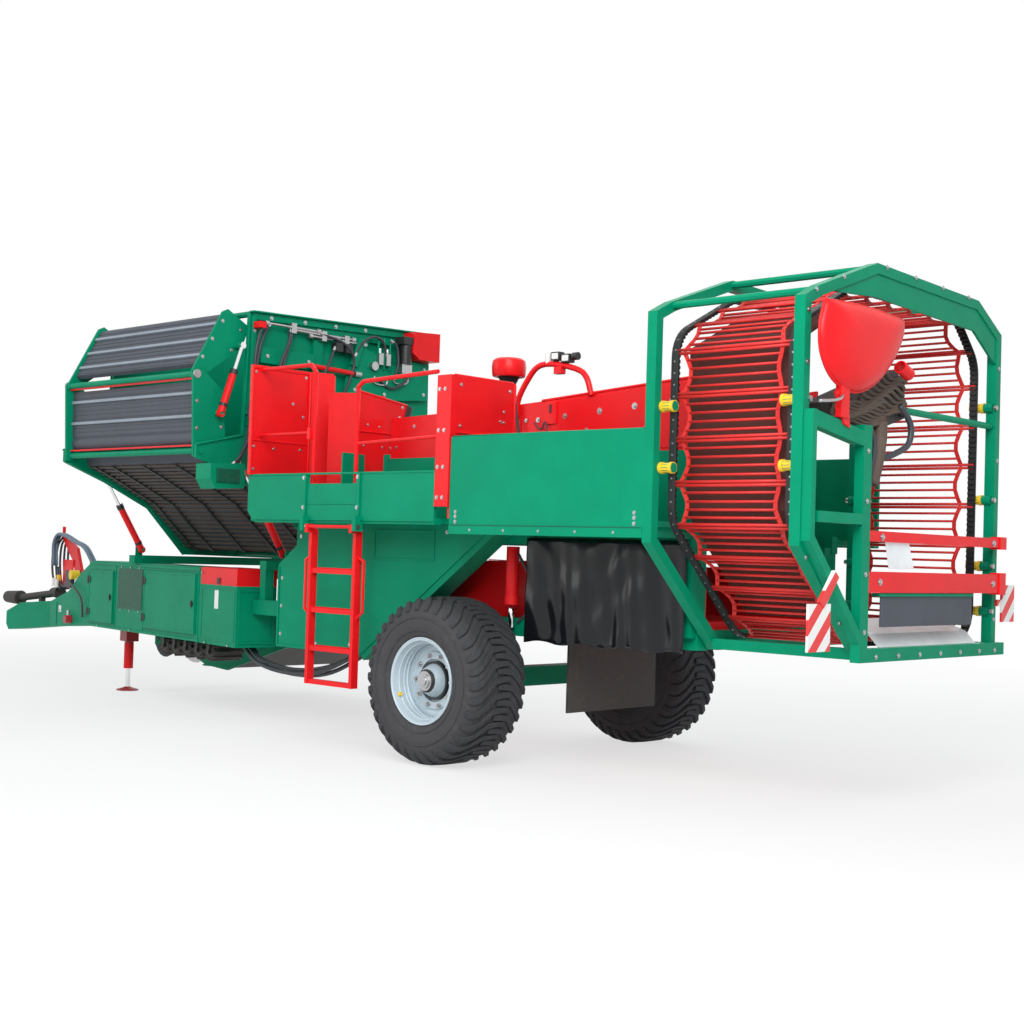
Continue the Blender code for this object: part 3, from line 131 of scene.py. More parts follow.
LOOKS = {
    "green_paint": surface("green paint", GREEN, 0.42, dirt=0.08, dirt_colour=(0.0, 0.13, 0.07), coat=0.02, gloss=0.10),
    "dark_green": surface("dark green paint", (0.0, 0.10, 0.055), 0.4, dirt=0.10, coat=0.05, gloss=0.3),
    "red_paint": surface("red paint", RED, 0.34, dirt=0.05, dirt_colour=(0.30, 0.02, 0.02), coat=0.05, gloss=0.22),
    "dark_red": surface("dark red paint", (0.35, 0.012, 0.018), 0.4, dirt=0.12, coat=0.2),
    "tyre_rubber": surface("tyre rubber", (0.032, 0.034, 0.038), 0.8, dirt=0.35, dirt_colour=(0.12, 0.11, 0.10), bump=0.2, grain=150),
    "belt_rubber": surface("belt rubber", (0.062, 0.072, 0.092), 0.6, dirt=0.30, dirt_colour=(0.11, 0.10, 0.09), bump=0.15, grain=90),
    "rim_paint": surface("rim paint", (0.50, 0.59, 0.64), 0.36, metallic=0.2, dirt=0.12),
    "web_steel": surface("web", (0.62, 0.022, 0.020), 0.42, dirt=0.15, dirt_colour=(0.35, 0.05, 0.02), gloss=0.4),
    "bare_steel": surface("bare steel", (0.48, 0.48, 0.49), 0.34, metallic=1.0, dirt=0.2),
    "chrome": surface("chrome", (0.80, 0.80, 0.82), 0.10, metallic=1.0, dirt=0.02, bump=0.0),
    "curtain_film": surface("curtain film", (0.004, 0.005, 0.007), 0.20, dirt=0.03, gloss=0.35),
    "white_sheet": surface("galvanised sheet", (0.85, 0.90, 0.92), 0.42, metallic=0.1, dirt=0.10),
    "dark_flap": surface("dark rubber", (0.032, 0.029, 0.026), 0.6, dirt=0.25, bump=0.1),
    "yellow": surface("yellow plastic", (0.85, 0.55, 0.02), 0.4, dirt=0.1),
    "white": surface("white plastic", (0.80, 0.80, 0.78), 0.4, dirt=0.1),
    "black": surface("black plastic", (0.015, 0.016, 0.018), 0.42, dirt=0.1),
    "hose": surface("hose rubber", (0.03, 0.035, 0.045), 0.45, dirt=0.15),
    "blue_hose": surface("hose in its sleeve", (0.12, 0.17, 0.23), 0.5, dirt=0.15),
    "amber": surface("amber lens", (0.9, 0.25, 0.01), 0.25, dirt=0.02, coat=0.6),
    "brown": surface("ribbed brown rubber", (0.085, 0.060, 0.045), 0.65, dirt=0.3),
    "liner": surface("liner behind the web", (0.085, 0.020, 0.014), 0.8, dirt=0.4, dirt_colour=(0.12, 0.04, 0.02)),
    "rib": surface("rib of the belt", (0.26, 0.31, 0.36), 0.5, dirt=0.3),
    "tyre_wall": surface("tyre carcass", (0.046, 0.045, 0.050), 0.85, dirt=0.4, dirt_colour=(0.13, 0.12, 0.115), bump=0.2, grain=150),
}


def striped():
    """Blank diagonal red and white stripes."""
    made, tree, shader = tree_of("striped film")
    place = add(tree, "ShaderNodeTexCoord").outputs["Object"]
    parts = add(tree, "ShaderNodeSeparateXYZ", Vector=place)
    total = add(tree, "ShaderNodeMath")
    total.operation = "ADD"
    tree.links.new(parts.outputs["Y"], total.inputs[0])
    tree.links.new(parts.outputs["Z"], total.inputs[1])
    wrapped = add(tree, "ShaderNodeMath")
    wrapped.operation = "PINGPONG"
    tree.links.new(total.outputs[0], wrapped.inputs[0])
    wrapped.inputs[1].default_value = 0.10
    step = add(tree, "ShaderNodeMath")
    step.operation = "GREATER_THAN"
    tree.links.new(wrapped.outputs[0], step.inputs[0])
    step.inputs[1].default_value = 0.05
    mix = tree.nodes.new("ShaderNodeMix")
    mix.data_type = "RGBA"
    tree.links.new(step.outputs[0], mix.inputs["Factor"])
    mix.inputs["A"].default_value = (0.82, 0.82, 0.80, 1)
    mix.inputs["B"].default_value = (0.75, 0.03, 0.03, 1)
    tree.links.new(mix.outputs["Result"], shader.inputs["Base Color"])
    shader.inputs["Roughness"].default_value = 0.35
    return made


LOOKS["board_film"] = striped()
SLOTS = {entry["node"]: entry["material_slot"] for entry in frame["record"]["subparts"]}
for name, obj in nodes.items():
    look = LOOKS[SLOTS[name]]
    for i in range(max(1, len(obj.material_slots))):
        if obj.material_slots:
            obj.material_slots[i].material = look
        else:
            obj.data.materials.append(look)

# ---------------------------------------------------------------- floor, backdrop and light
BRIGHT_FROM, BRIGHT_TO = 7.0, 15.0  # the floor's own white takes over between these distances


def seen_mask(tree):
    """1 for the rays that see the background: from the camera, through glass and off glossy surfaces."""
    path = tree.nodes.new("ShaderNodeLightPath")
    found = path.outputs["Is Camera Ray"]
    for name in ("Is Transmission Ray", "Is Glossy Ray"):
        both = tree.nodes.new("ShaderNodeMath")
        both.operation = "MAXIMUM"
        tree.links.new(found, both.inputs[0])
        tree.links.new(path.outputs[name], both.inputs[1])
        found = both.outputs[0]
    return found


def pale_floor():
    """A pale floor that keeps the shadow near the machine and runs out to white far from it."""
    made, tree, shader = tree_of("pale floor")
    shader.inputs["Base Color"].default_value = (0.80, 0.80, 0.80, 1)
    shader.inputs["Roughness"].default_value = 0.9
    shader.inputs["Specular IOR Level"].default_value = 0.1
    place = add(tree, "ShaderNodeTexCoord").outputs["Object"]
    far = tree.nodes.new("ShaderNodeVectorMath")
    far.operation = "LENGTH"
    tree.links.new(place, far.inputs[0])
    share = add(tree, "ShaderNodeMapRange", Value=far.outputs["Value"])
    share.inputs["From Min"].default_value, share.inputs["From Max"].default_value = BRIGHT_FROM, BRIGHT_TO
    share.inputs["To Min"].default_value, share.inputs["To Max"].default_value = 0.66, 1.0
    part = add(tree, "ShaderNodeMath")
    part.operation = "MULTIPLY"
    tree.links.new(share.outputs["Result"], part.inputs[0])
    tree.links.new(seen_mask(tree), part.inputs[1])
    glow = add(tree, "ShaderNodeEmission")
    glow.inputs["Color"].default_value = (1, 1, 1, 1)
    mix = tree.nodes.new("ShaderNodeMixShader")
    tree.links.new(part.outputs[0], mix.inputs[0])
    tree.links.new(shader.outputs[0], mix.inputs[1])
    tree.links.new(glow.outputs[0], mix.inputs[2])
    tree.links.new(mix.outputs[0], tree.nodes["Material Output"].inputs["Surface"])
    return made


FLOOR_HALF = 60
corners = [(-FLOOR_HALF, -FLOOR_HALF, 0), (FLOOR_HALF, -FLOOR_HALF, 0), (FLOOR_HALF, FLOOR_HALF, 0), (-FLOOR_HALF, FLOOR_HALF, 0)]
floor_data = bpy.data.meshes.new("floor")
floor_data.from_pydata(corners, [], [(0, 1, 2, 3)])
floor_data.materials.append(pale_floor())
floor = bpy.data.objects.new("floor", floor_data)
bpy.context.scene.collection.objects.link(floor)

world = bpy.data.worlds.new("studio")
bpy.context.scene.world = world
world.use_nodes = True
tree = world.node_tree
sky = tree.nodes["Background"]
sky.inputs["Color"].default_value = (0.94, 0.97, 1.0, 1)
sky.inputs["Strength"].default_value = 0.55
white = add(tree, "ShaderNodeBackground")
white.inputs["Color"].default_value = (1, 1, 1, 1)
white.inputs["Strength"].default_value = 1.0
mix = tree.nodes.new("ShaderNodeMixShader")
tree.links.new(seen_mask(tree), mix.inputs[0])
tree.links.new(sky.outputs[0], mix.inputs[1])
tree.links.new(white.outputs[0], mix.inputs[2])
tree.links.new(mix.outputs[0], tree.nodes["World Output"].inputs["Surface"])


def lamp(name, place, aim, size, power):
    data = bpy.data.lights.new(name, "AREA")
    data.size, data.energy = size, power
    made = bpy.data.objects.new(name, data)
    bpy.context.scene.collection.objects.link(made)
    made.location = place
    made.rotation_euler = (Vector(aim) - Vector(place)).to_track_quat("-Z", "Y").to_euler()


lamp("key", (-10, 9, 8), (0, 0, 1.5), 7, 1350)
lamp("fill", (9, 10, 6), (1, 0, 1.5), 7, 250)
lamp("top", (0, 0, 12), (0, 0, 0), 9, 250)
lamp("back", (2, -12, 7), (0, 0, 2), 8, 350)


# ---------------------------------------------------------------- mesh kit
class Kit:
    """Collects simple bodies into one mesh, in the machine's frame."""

    def __init__(self):
        self.points, self.faces, self.smooth = [], [], []

    def add(self, points, faces, smooth=False):
        base = len(self.points)
        self.points += [tuple(p) for p in points]
        self.faces += [tuple(i + base for i in face) for face in faces]
        self.smooth += [smooth] * len(faces)

    def box(self, x0, x1, y0, y1, z0, z1, turn=None):
        corners = [Vector((x, y, z)) for z in (z0, z1) for x, y in ((x0, y0), (x1, y0), (x1, y1), (x0, y1))]
        if turn:
            corners = [turn @ c for c in corners]
        self.add(corners, [(0, 3, 2, 1), (4, 5, 6, 7), (0, 1, 5, 4), (1, 2, 6, 5), (2, 3, 7, 6), (3, 0, 4, 7)])

    def bar(self, start, end, width, depth, across=(1, 0, 0)):
        start, end = Vector(start), Vector(end)
        run = (end - start).normalized()
        side = Vector(across)
        side = (side - run * side.dot(run)).normalized()
        top = run.cross(side)
        corners = [p + side * (width / 2 * s) + top * (depth / 2 * t) for p in (start, end) for s, t in ((-1, -1), (1, -1), (1, 1), (-1, 1))]
        self.add(corners, [(0, 3, 2, 1), (4, 5, 6, 7), (0, 1, 5, 4), (1, 2, 6, 5), (2, 3, 7, 6), (3, 0, 4, 7)])

    def tube(self, points, radius, sides=10, closed=False, radii=None):
        points = [Vector(p) for p in points]
        count = len(points)
        runs = []
        for i in range(count):
            a = points[i - 1] if i or closed else points[0]
            b = points[(i + 1) % count] if i < count - 1 or closed else points[-1]
            runs.append((b - a).normalized())
        side = runs[0].orthogonal().normalized()
        rows = []
        for i, point in enumerate(points):
            if i:
                side = runs[i - 1].rotation_difference(runs[i]) @ side
            side = (side - runs[i] * side.dot(runs[i])).normalized()
            top = runs[i].cross(side)
            r = radii[i] if radii else radius
            rows.append([point + side * (r * cos(2 * pi * k / sides)) + top * (r * sin(2 * pi * k / sides)) for k in range(sides)])
        faces = []
        for i in range(count if closed else count - 1):
            a, b = i * sides, (i + 1) % count * sides
            faces += [(a + k, a + (k + 1) % sides, b + (k + 1) % sides, b + k) for k in range(sides)]
        self.add([p for row in rows for p in row], faces, True)
        if not closed:
            base = len(self.points) - count * sides
            self.faces += [tuple(base + k for k in reversed(range(sides))), tuple(base + (count - 1) * sides + k for k in range(sides))]
            self.smooth += [False, False]

    def disc(self, axis, centre, radius, low, high, sides=16, inner=0.0):
        """A round body along an axis, from low to high beside its centre."""
        centre = Vector(centre)
        along = Vector(axis).normalized()
        side = along.orthogonal().normalized()
        top = along.cross(side)
        ring = lambda r, d: [centre + along * d + side * (r * cos(2 * pi * k / sides)) + top * (r * sin(2 * pi * k / sides)) for k in range(sides)]
        wall = [(k, (k + 1) % sides, (k + 1) % sides + sides, k + sides) for k in range(sides)]
        if inner:
            self.add(ring(radius, low) + ring(radius, high), wall, True)
            self.add(ring(inner, high) + ring(inner, low), wall, True)
            for d, flip in ((low, False), (high, True)):
                face = [(k, k + sides, (k + 1) % sides + sides, (k + 1) % sides) for k in range(sides)]
                self.add(ring(radius, d) + ring(inner, d), [tuple(reversed(f)) if flip else f for f in face])
        else:
            self.add(ring(radius, low) + ring(radius, high), wall, True)
            self.add(ring(radius, low), [tuple(reversed(range(sides)))])
            self.add(ring(radius, high), [tuple(range(sides))])

    def bolt(self, centre, axis, size=0.012, height=0.008):
        self.disc(axis, centre, size * 1.5, -0.001, height * 0.3, 12)
        self.disc(axis, centre, size, 0, height, 6)

    def prism(self, axis, outline, low, high):
        n = len(outline)
        where = {"X": lambda d, p: (d, p[0], p[1]), "Y": lambda d, p: (p[0], d, p[1]), "Z": lambda d, p: (p[0], p[1], d)}[axis]
        points = [where(low, p) for p in outline] + [where(high, p) for p in outline]
        sides = [(i, (i + 1) % n, (i + 1) % n + n, i + n) for i in range(n)]
        self.add(points, sides + [tuple(reversed(range(n))), tuple(range(n, 2 * n))])

    def done(self, name, look, body, bevel=0.0, slot=None, replaces=(), auto=35):
        mesh = bpy.data.meshes.new(name)
        mesh.from_pydata([P(*p) for p in self.points], [], self.faces)
        mesh.polygons.foreach_set("use_smooth", self.smooth)
        mesh.update()
        work = bmesh.new()
        work.from_mesh(mesh)
        bmesh.ops.recalc_face_normals(work, faces=work.faces)
        work.to_mesh(mesh)
        work.free()
        made = bpy.data.objects.new(name, mesh)
        bpy.context.scene.collection.objects.link(made)
        mesh.materials.append(LOOKS[look])
        if bevel:
            modifier = made.modifiers.new("bevel", "BEVEL")
            modifier.width, modifier.segments, modifier.limit_method = bevel, 2, "ANGLE"
            modifier.angle_limit = radians(40)
        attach(made, body)
        if replaces:
            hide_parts(*replaces)
        return made


def smoothed(points, steps=6):
    """A rounded line through these points (Catmull-Rom)."""
    points = [Vector(p) for p in points]
    ends = [points[0] * 2 - points[1]] + points + [points[-1] * 2 - points[-2]]
    line = []
    for i in range(1, len(ends) - 2):
        a, b, c, d = ends[i - 1 : i + 3]
        for k in range(steps):
            t = k / steps
            line.append(0.5 * ((2 * b) + (c - a) * t + (2 * a - 5 * b + 4 * c - d) * t * t + (3 * b - a - 3 * c + d) * t**3))
    line.append(points[-1])
    return line


def evenly(loop, step, closed=True):
    """Points at equal distances along a line of (Y, Z) or 3-D points, with their directions."""
    points = [Vector(p) for p in loop]
    if closed:
        points.append(points[0])
    lengths = [(b - a).length for a, b in zip(points, points[1:])]
    total = sum(lengths)
    count = max(2, round(total / step))
    out, i, passed = [], 0, 0.0
    for k in range(count if closed else count + 1):
        want = total * k / count
        while i < len(lengths) - 1 and passed + lengths[i] < want:
            passed += lengths[i]
            i += 1
        share = (want - passed) / lengths[i] if lengths[i] else 0
        out.append((points[i].lerp(points[i + 1], min(1, share)), (points[i + 1] - points[i]).normalized()))
    return out


def arc_corners(outline, radius, steps=8):
    """An outline of (Y, Z) points with its corners rounded."""
    made, count = [], len(outline)
    for i, corner in enumerate(outline):
        here = Vector(corner)
        back = (Vector(outline[i - 1]) - here).normalized()
        on = (Vector(outline[(i + 1) % count]) - here).normalized()
        half = back.angle(on) / 2
        centre = here + (back + on).normalized() * (radius / sin(half))
        first = here + back * (radius * cos(half) / sin(half)) - centre
        sign = 1 if back.x * on.y - back.y * on.x < 0 else -1
        for k in range(steps + 1):
            angle = sign * (pi - 2 * half) * k / steps
            made.append(centre + Vector((first.x * cos(angle) - first.y * sin(angle), first.x * sin(angle) + first.y * cos(angle))))
    return made


BOX_ANGLE = radians(9.75)
BOX_FRONT = Vector((6.67, 0.22, 0))


def L(x, y, z):
    """A point of the drawbar housing's own frame in the machine's frame."""
    c, s = cos(BOX_ANGLE), sin(BOX_ANGLE)
    return Vector((BOX_FRONT.x + x * c + y * s, BOX_FRONT.y - x * s + y * c, z))


LOCAL = Matrix.Translation(BOX_FRONT) @ Matrix.Rotation(-BOX_ANGLE, 4, "Z")

# ---------------------------------------------------------------- ring web
WEB = [(0.66, 1.125), (1.49, 1.93), (1.49, 3.22), (0.82, 3.56), (-0.72, 3.56), (-1.05, 3.25), (-1.05, 1.125)]
WEB_X0, WEB_X1 = -3.33, -2.32
loop = arc_corners(WEB, 0.26)
PITCH = 0.30
dividers = evenly(loop, PITCH)


def inward(direction, depth):
    """A step from the loop's outer line towards its inside."""
    return Vector((direction.y, -direction.x)) * depth


area = sum(a.x * b.y - b.x * a.y for a, b in zip(loop, loop[1:] + loop[:1]))
turn_in = -1 if area > 0 else 1
rods = Kit()
straps = Kit()
belts = Kit()
teeth = Kit()
X_OUT0, X_OUT1 = WEB_X0 + 0.12, WEB_X1 - 0.10
X_IN0, X_IN1 = X_OUT0 + 0.05, X_OUT1 - 0.06
fine = evenly(loop, PITCH / 5)
per = len(fine) // len(dividers)
for i, (place, direction) in enumerate(fine):
    inn = inward(direction, turn_in)
    phase = (i % 5) / 5
    depth = 0.016 if i % 5 == 0 else 0.026 + 0.012 * sin(pi * phase)
    x0 = X_OUT0 + (X_IN0 - X_OUT0) * (1 - abs(1 - 2 * phase))
    x1 = X_OUT1 + (X_IN1 - X_OUT1) * (1 - abs(1 - 2 * phase))
    if i % 5 == 0:
        for along in (-0.012, 0.012):
            at = place + inn * depth + direction * along
            rods.tube([(WEB_X0 + 0.02, at.x, at.y), (WEB_X1 - 0.02, at.x, at.y)], 0.011, 8)
    else:
        at = place + inn * depth
        rods.tube([(x0, at.x, at.y), (x1, at.x, at.y)], 0.0095, 8)
for i in range(len(fine)):
    for x_out, x_in in ((X_OUT0, X_IN0), (X_OUT1, X_IN1)):
        ends = []
        for j in (i, i + 1):
            place, direction = fine[j % len(fine)]
            phase = (j % 5) / 5
            depth = 0.016 if j % 5 == 0 else 0.026 + 0.012 * sin(pi * phase)
            at = place + inward(direction, turn_in) * depth
            ends.append((x_out + (x_in - x_out) * (1 - abs(1 - 2 * phase)), at.x, at.y))
        straps.bar(ends[0], ends[1], 0.030, 0.008)
for low, high in ((WEB_X0 + 0.005, WEB_X0 + 0.065), (WEB_X1 - 0.065, WEB_X1 - 0.005)):
    ring_line = evenly(loop, 0.04)
    count = len(ring_line)
    for j in range(count):
        (a, da), (b, db) = ring_line[j], ring_line[(j + 1) % count]
        ina, inb = inward(da, turn_in), inward(db, turn_in)
        quad = []
        for x in (low, high):
            for p, inn in ((a, ina), (b, inb)):
                for depth in (0.004, 0.020):
                    q = p + inn * depth
                    quad.append((x, q.x, q.y))
        belts.add(quad, [(0, 1, 3, 2), (4, 6, 7, 5), (0, 2, 6, 4), (1, 5, 7, 3)])
        mid = (a + b) / 2
        q0, q1 = mid + ina * 0.020, mid + ina * 0.036
        belts.bar((low + 0.004, q0.x, q0.y), (high - 0.004, q0.x, q0.y), 0.020, 0.028, (0, da.x, da.y))
        if j % 2 == 0:
            q = mid + ina * 0.003
            teeth.disc((0, ina.x, ina.y), ((low + high) / 2, q.x, q.y), 0.007, -0.003, 0.004, 8)
web_piece = rods.done("web_rods", "web_steel", "chassis", replaces=("ring_web",))
straps.done("web_straps", "web_steel", "chassis")
belts.done("web_belts", "black", "chassis")
teeth.done("web_rivets", "bare_steel", "chassis")


# ---------------------------------------------------------------- wheels
TYRE_R, TRACK = 0.663, 1.27
BARS = 34
CROWN = [(-0.065, 0.663), (0.0, 0.663), (0.09, 0.663), (0.17, 0.661), (0.225, 0.652), (0.262, 0.630), (0.286, 0.600), (0.297, 0.560)]
LEAD = [0.27, 0.27, 0.25, 0.14, 0.06, 0.015, 0.0, 0.0]  # how far each of these points leads the shoulder, in radians
CARCASS = [(0.0, 0.638), (0.17, 0.636), (0.22, 0.628), (0.255, 0.606), (0.277, 0.575), (0.290, 0.53), (0.296, 0.48),
           (0.293, 0.43), (0.280, 0.385), (0.268, 0.362), (0.262, 0.348), (0.20, 0.345)]


def tyre(side, sign):
    """A flotation tyre: a smooth carcass with bars that meet in a chevron, their fingers side by side on the crown."""
    kit = Kit()
    steps = 96
    profile = [(-y, r) for y, r in reversed(CARCASS)] + CARCASS[1:]
    points = []
    for y, r in profile:
        points += [(-r * cos(2 * pi * k / steps), sign * TRACK + y, TYRE_R + r * sin(2 * pi * k / steps)) for k in range(steps)]
    faces = [(i * steps + k, i * steps + (k + 1) % steps, (i + 1) * steps + (k + 1) % steps, (i + 1) * steps + k)
             for i in range(len(profile) - 1) for k in range(steps)]
    kit.add(points, faces, True)
    for r in (0.50, 0.40):
        for half in (1, -1):
            y = sign * TRACK + half * (0.2955 if r == 0.50 else 0.286)
            kit.tube([(-r * cos(a), y, TYRE_R + r * sin(a)) for a in (2 * pi * k / 72 for k in range(72))], 0.006, 6, closed=True)
    kit.done(f"tyre_{side}_carcass", "tyre_wall", f"wheel_{side}", replaces=(f"tyre_{side}",))
    kit = Kit()
    for half in (1, -1):
        for k in range(BARS):
            start = 2 * pi * (k + (0.5 if half < 0 else 0)) / BARS
            rows = []
            for i, ((y, r), lead) in enumerate(zip(CROWN, LEAD)):
                wide = (0.020, 0.023, 0.024, 0.025, 0.026, 0.026, 0.024, 0.020)[i]
                sunk = 0.036 if i < 5 else 0.030
                slope = (y - 0.16) / 0.14 if y > 0.16 else 0
                inside = Vector((-sunk * 0.8 * max(0, slope), -sunk * (1 - 0.6 * max(0, slope))))
                row = []
                for across, depth in ((-1.25, 1), (-1, 0), (1, 0), (1.25, 1)):
                    angle = start + lead + across * wide / r
                    yy, rr = y + inside.x * depth, r + inside.y * depth
                    row.append((-rr * cos(angle), sign * TRACK + half * yy, TYRE_R + rr * sin(angle)))
                rows.append(row)
            faces = [(i * 4 + j, i * 4 + j + 1, i * 4 + j + 5, i * 4 + j + 4) for i in range(len(rows) - 1) for j in range(3)]
            faces += [(0, 3, 2, 1), tuple(4 * (len(rows) - 1) + j for j in range(4))]
            kit.add([p for row in rows for p in row], faces)
    kit.done(f"tyre_{side}_tread", "tyre_rubber", f"wheel_{side}", bevel=0.005)


def rim(side, sign):
    """Rings of the rim's well, the black hub plate with its nuts, and the stepped cap."""
    y = sign * TRACK
    rings, dark, bright = Kit(), Kit(), Kit()
    for along, r, thick in ((0.266, 0.338, 0.008), (0.215, 0.303, 0.007), (0.165, 0.301, 0.008), (0.130, 0.298, 0.009)):
        line = [(-r * cos(a), y + sign * along, TYRE_R + r * sin(a)) for a in (2 * pi * k / 72 for k in range(72))]
        rings.tube(line, thick, 8, closed=True)
    for along, r0, r1 in ((0.112, 0.290, 0.262), (0.116, 0.225, 0.170)):
        rings.disc((0, sign, 0), (0, y, TYRE_R), r0, along - 0.03, along, 72, inner=r1)
    rings.done(f"rim_{side}_rings", "rim_paint", f"wheel_{side}")
    dark.disc((0, sign, 0), (0, y, TYRE_R), 0.152, 0.09, 0.128, 48)
    dark.disc((0, sign, 0), (0, y, TYRE_R), 0.092, 0.128, 0.212, 36)
    dark.done(f"hub_{side}_plate", "black", f"wheel_{side}", bevel=0.004)
    for k in range(10):
        angle = 2 * pi * k / 10
        centre = (-0.20 * cos(angle), y + sign * 0.115, TYRE_R + 0.20 * sin(angle))
        bright.disc((0, sign, 0), centre, 0.020, 0, 0.010, 16)
        bright.disc((0, sign, 0), centre, 0.014, 0, 0.032, 6)
    for r, low, high in ((0.078, 0.205, 0.228), (0.058, 0.22, 0.240), (0.034, 0.235, 0.250)):
        bright.disc((0, sign, 0), (0, y, TYRE_R), r, low, high, 36)
    bright.done(f"hub_{side}_nuts", "bare_steel", f"wheel_{side}", bevel=0.002)
    cap = Kit()
    angle = radians(205)
    cap.disc((cos(angle), 0, -sin(angle)), (-0.296 * cos(angle), y + sign * 0.235, TYRE_R + 0.296 * sin(angle)), 0.016, -0.004, 0.014, 14)
    cap.done(f"rim_{side}_valve", "yellow", f"wheel_{side}")


for side, sign in (("left", 1), ("right", -1)):
    tyre(side, sign)
    rim(side, sign)

# ---------------------------------------------------------------- bunker belts
BELT_X = {"floor": (3.022, 5.278), "lower": (3.057, 5.243), "tip": (3.092, 5.208)}


def ribs(name, body, line, ends, step, wide, high, look, first=0.5):
    """Bars along X that stand on a belt whose run is this (Y, Z) line, seen from its left."""
    kit = Kit()
    points = [Vector(p) for p in line]
    for a, b in zip(points, points[1:]):
        run = (b - a).normalized()
        out = Vector((run.y, -run.x))
        count = max(1, int((b - a).length / step))
        for k in range(count):
            middle = a + (b - a) * ((k + first) / count) + out * (high / 2 - 0.002)
            kit.bar((ends[0], *middle), (ends[1], *middle), wide, high, (0, run.x, run.y))
    kit.done(name, look, body, bevel=min(wide, high) * 0.3)


ribs("tip_belt_ribs", "tip_section", [(1.57, 3.36), (1.315, 3.83)], BELT_X["tip"], 0.17, 0.030, 0.022, "rib")
ribs("tip_belt_cleats", "tip_section", [(1.57, 3.36), (1.315, 3.83)], BELT_X["tip"], 0.042, 0.012, 0.007, "belt_rubber")
ribs("lower_belt_ribs", "lower_section", [(1.57, 2.76), (1.575, 3.19)], BELT_X["lower"], 0.20, 0.030, 0.022, "rib")
ribs("lower_belt_cleats", "lower_section", [(1.57, 2.76), (1.575, 3.19)], BELT_X["lower"], 0.042, 0.012, 0.007, "belt_rubber")
UNDER = [(-0.56, 1.66), (0.10, 1.64), (0.62, 2.11), (1.16, 2.37), (1.36, 2.46)]
ribs("floor_belt_ribs", "bunker", UNDER, BELT_X["floor"], 0.060, 0.022, 0.020, "brown")
drums = Kit()
drums.disc((1, 0, 0), (0, 1.495, 2.668), 0.078, *BELT_X["lower"], 40)
drums.done("lower_belt_drum", "belt_rubber", "lower_section")
drums = Kit()
drums.disc((1, 0, 0), (0, 1.268, 3.80), 0.056, *BELT_X["tip"], 32)
drums.done("tip_belt_drum", "belt_rubber", "tip_section")
strips = Kit()
for x in (3.20, 3.70, 4.25, 4.80, 5.12):
    for a, b in zip(UNDER[:-1], UNDER[1:]):
        run = (Vector(b) - Vector(a)).normalized()
        drop = Vector((run.y, -run.x)) * 0.026
        p, q = Vector(a) + drop, Vector(b) + drop
        strips.bar((x, *p), (x, *q), 0.035, 0.012, (1, 0, 0))
strips.done("floor_belt_strips", "black", "bunker")
edges = Kit()
edges.box(3.06, 5.24, 1.588, 1.612, 3.205, 3.245)
edges.box(3.06, 5.24, 1.560, 1.590, 2.585, 2.600)
edges.done("lower_section_strips", "red_paint", "lower_section")
clips = Kit()
clips.tube(smoothed([(5.322, 1.52, 2.60), (5.324, 1.56, 2.90), (5.322, 1.58, 3.12), (5.322, 1.56, 3.24)], 5), 0.009, 8)
clips.done("lower_section_hose", "white", "lower_section")

# ---------------------------------------------------------------- ring details
rollers = Kit()
steel = Kit()
for y, z in ((1.5253, 2.72), (1.5253, 2.30), (-1.0853, 2.90), (-1.0853, 2.20), (-1.0853, 1.70), (-1.0853, 1.36)):
    for low, high in ((-3.362, -3.252), (-2.398, -2.288)):
        for a, b, r in ((low, low + 0.025, 0.040), (low + 0.025, high - 0.025, 0.0345), (high - 0.025, high, 0.040)):
            rollers.disc((1, 0, 0), (0, y, z), r, a, b, 24)
    steel.disc((1, 0, 0), (0, y, z), 0.020, -3.462, -3.44, 6)
    steel.disc((1, 0, 0), (0, y, z), 0.020, -2.21, -2.188, 6)
rollers.done("ring_rollers", "yellow", "chassis", bevel=0.002)
steel.done("ring_roller_nuts", "bare_steel", "chassis", bevel=0.001)
liner = Kit()
LINER = [(0.62, 1.31), (1.37, 2.02), (1.37, 3.12), (0.78, 3.42)]
for a, b in zip(LINER, LINER[1:]):
    run = (Vector(b) - Vector(a)).normalized()
    liner.bar((-2.83, *(Vector(a) - run * 0.005)), (-2.83, *(Vector(b) + run * 0.005)), 0.86, 0.012, (1, 0, 0))
liner.done("ring_liner", "liner", "chassis")


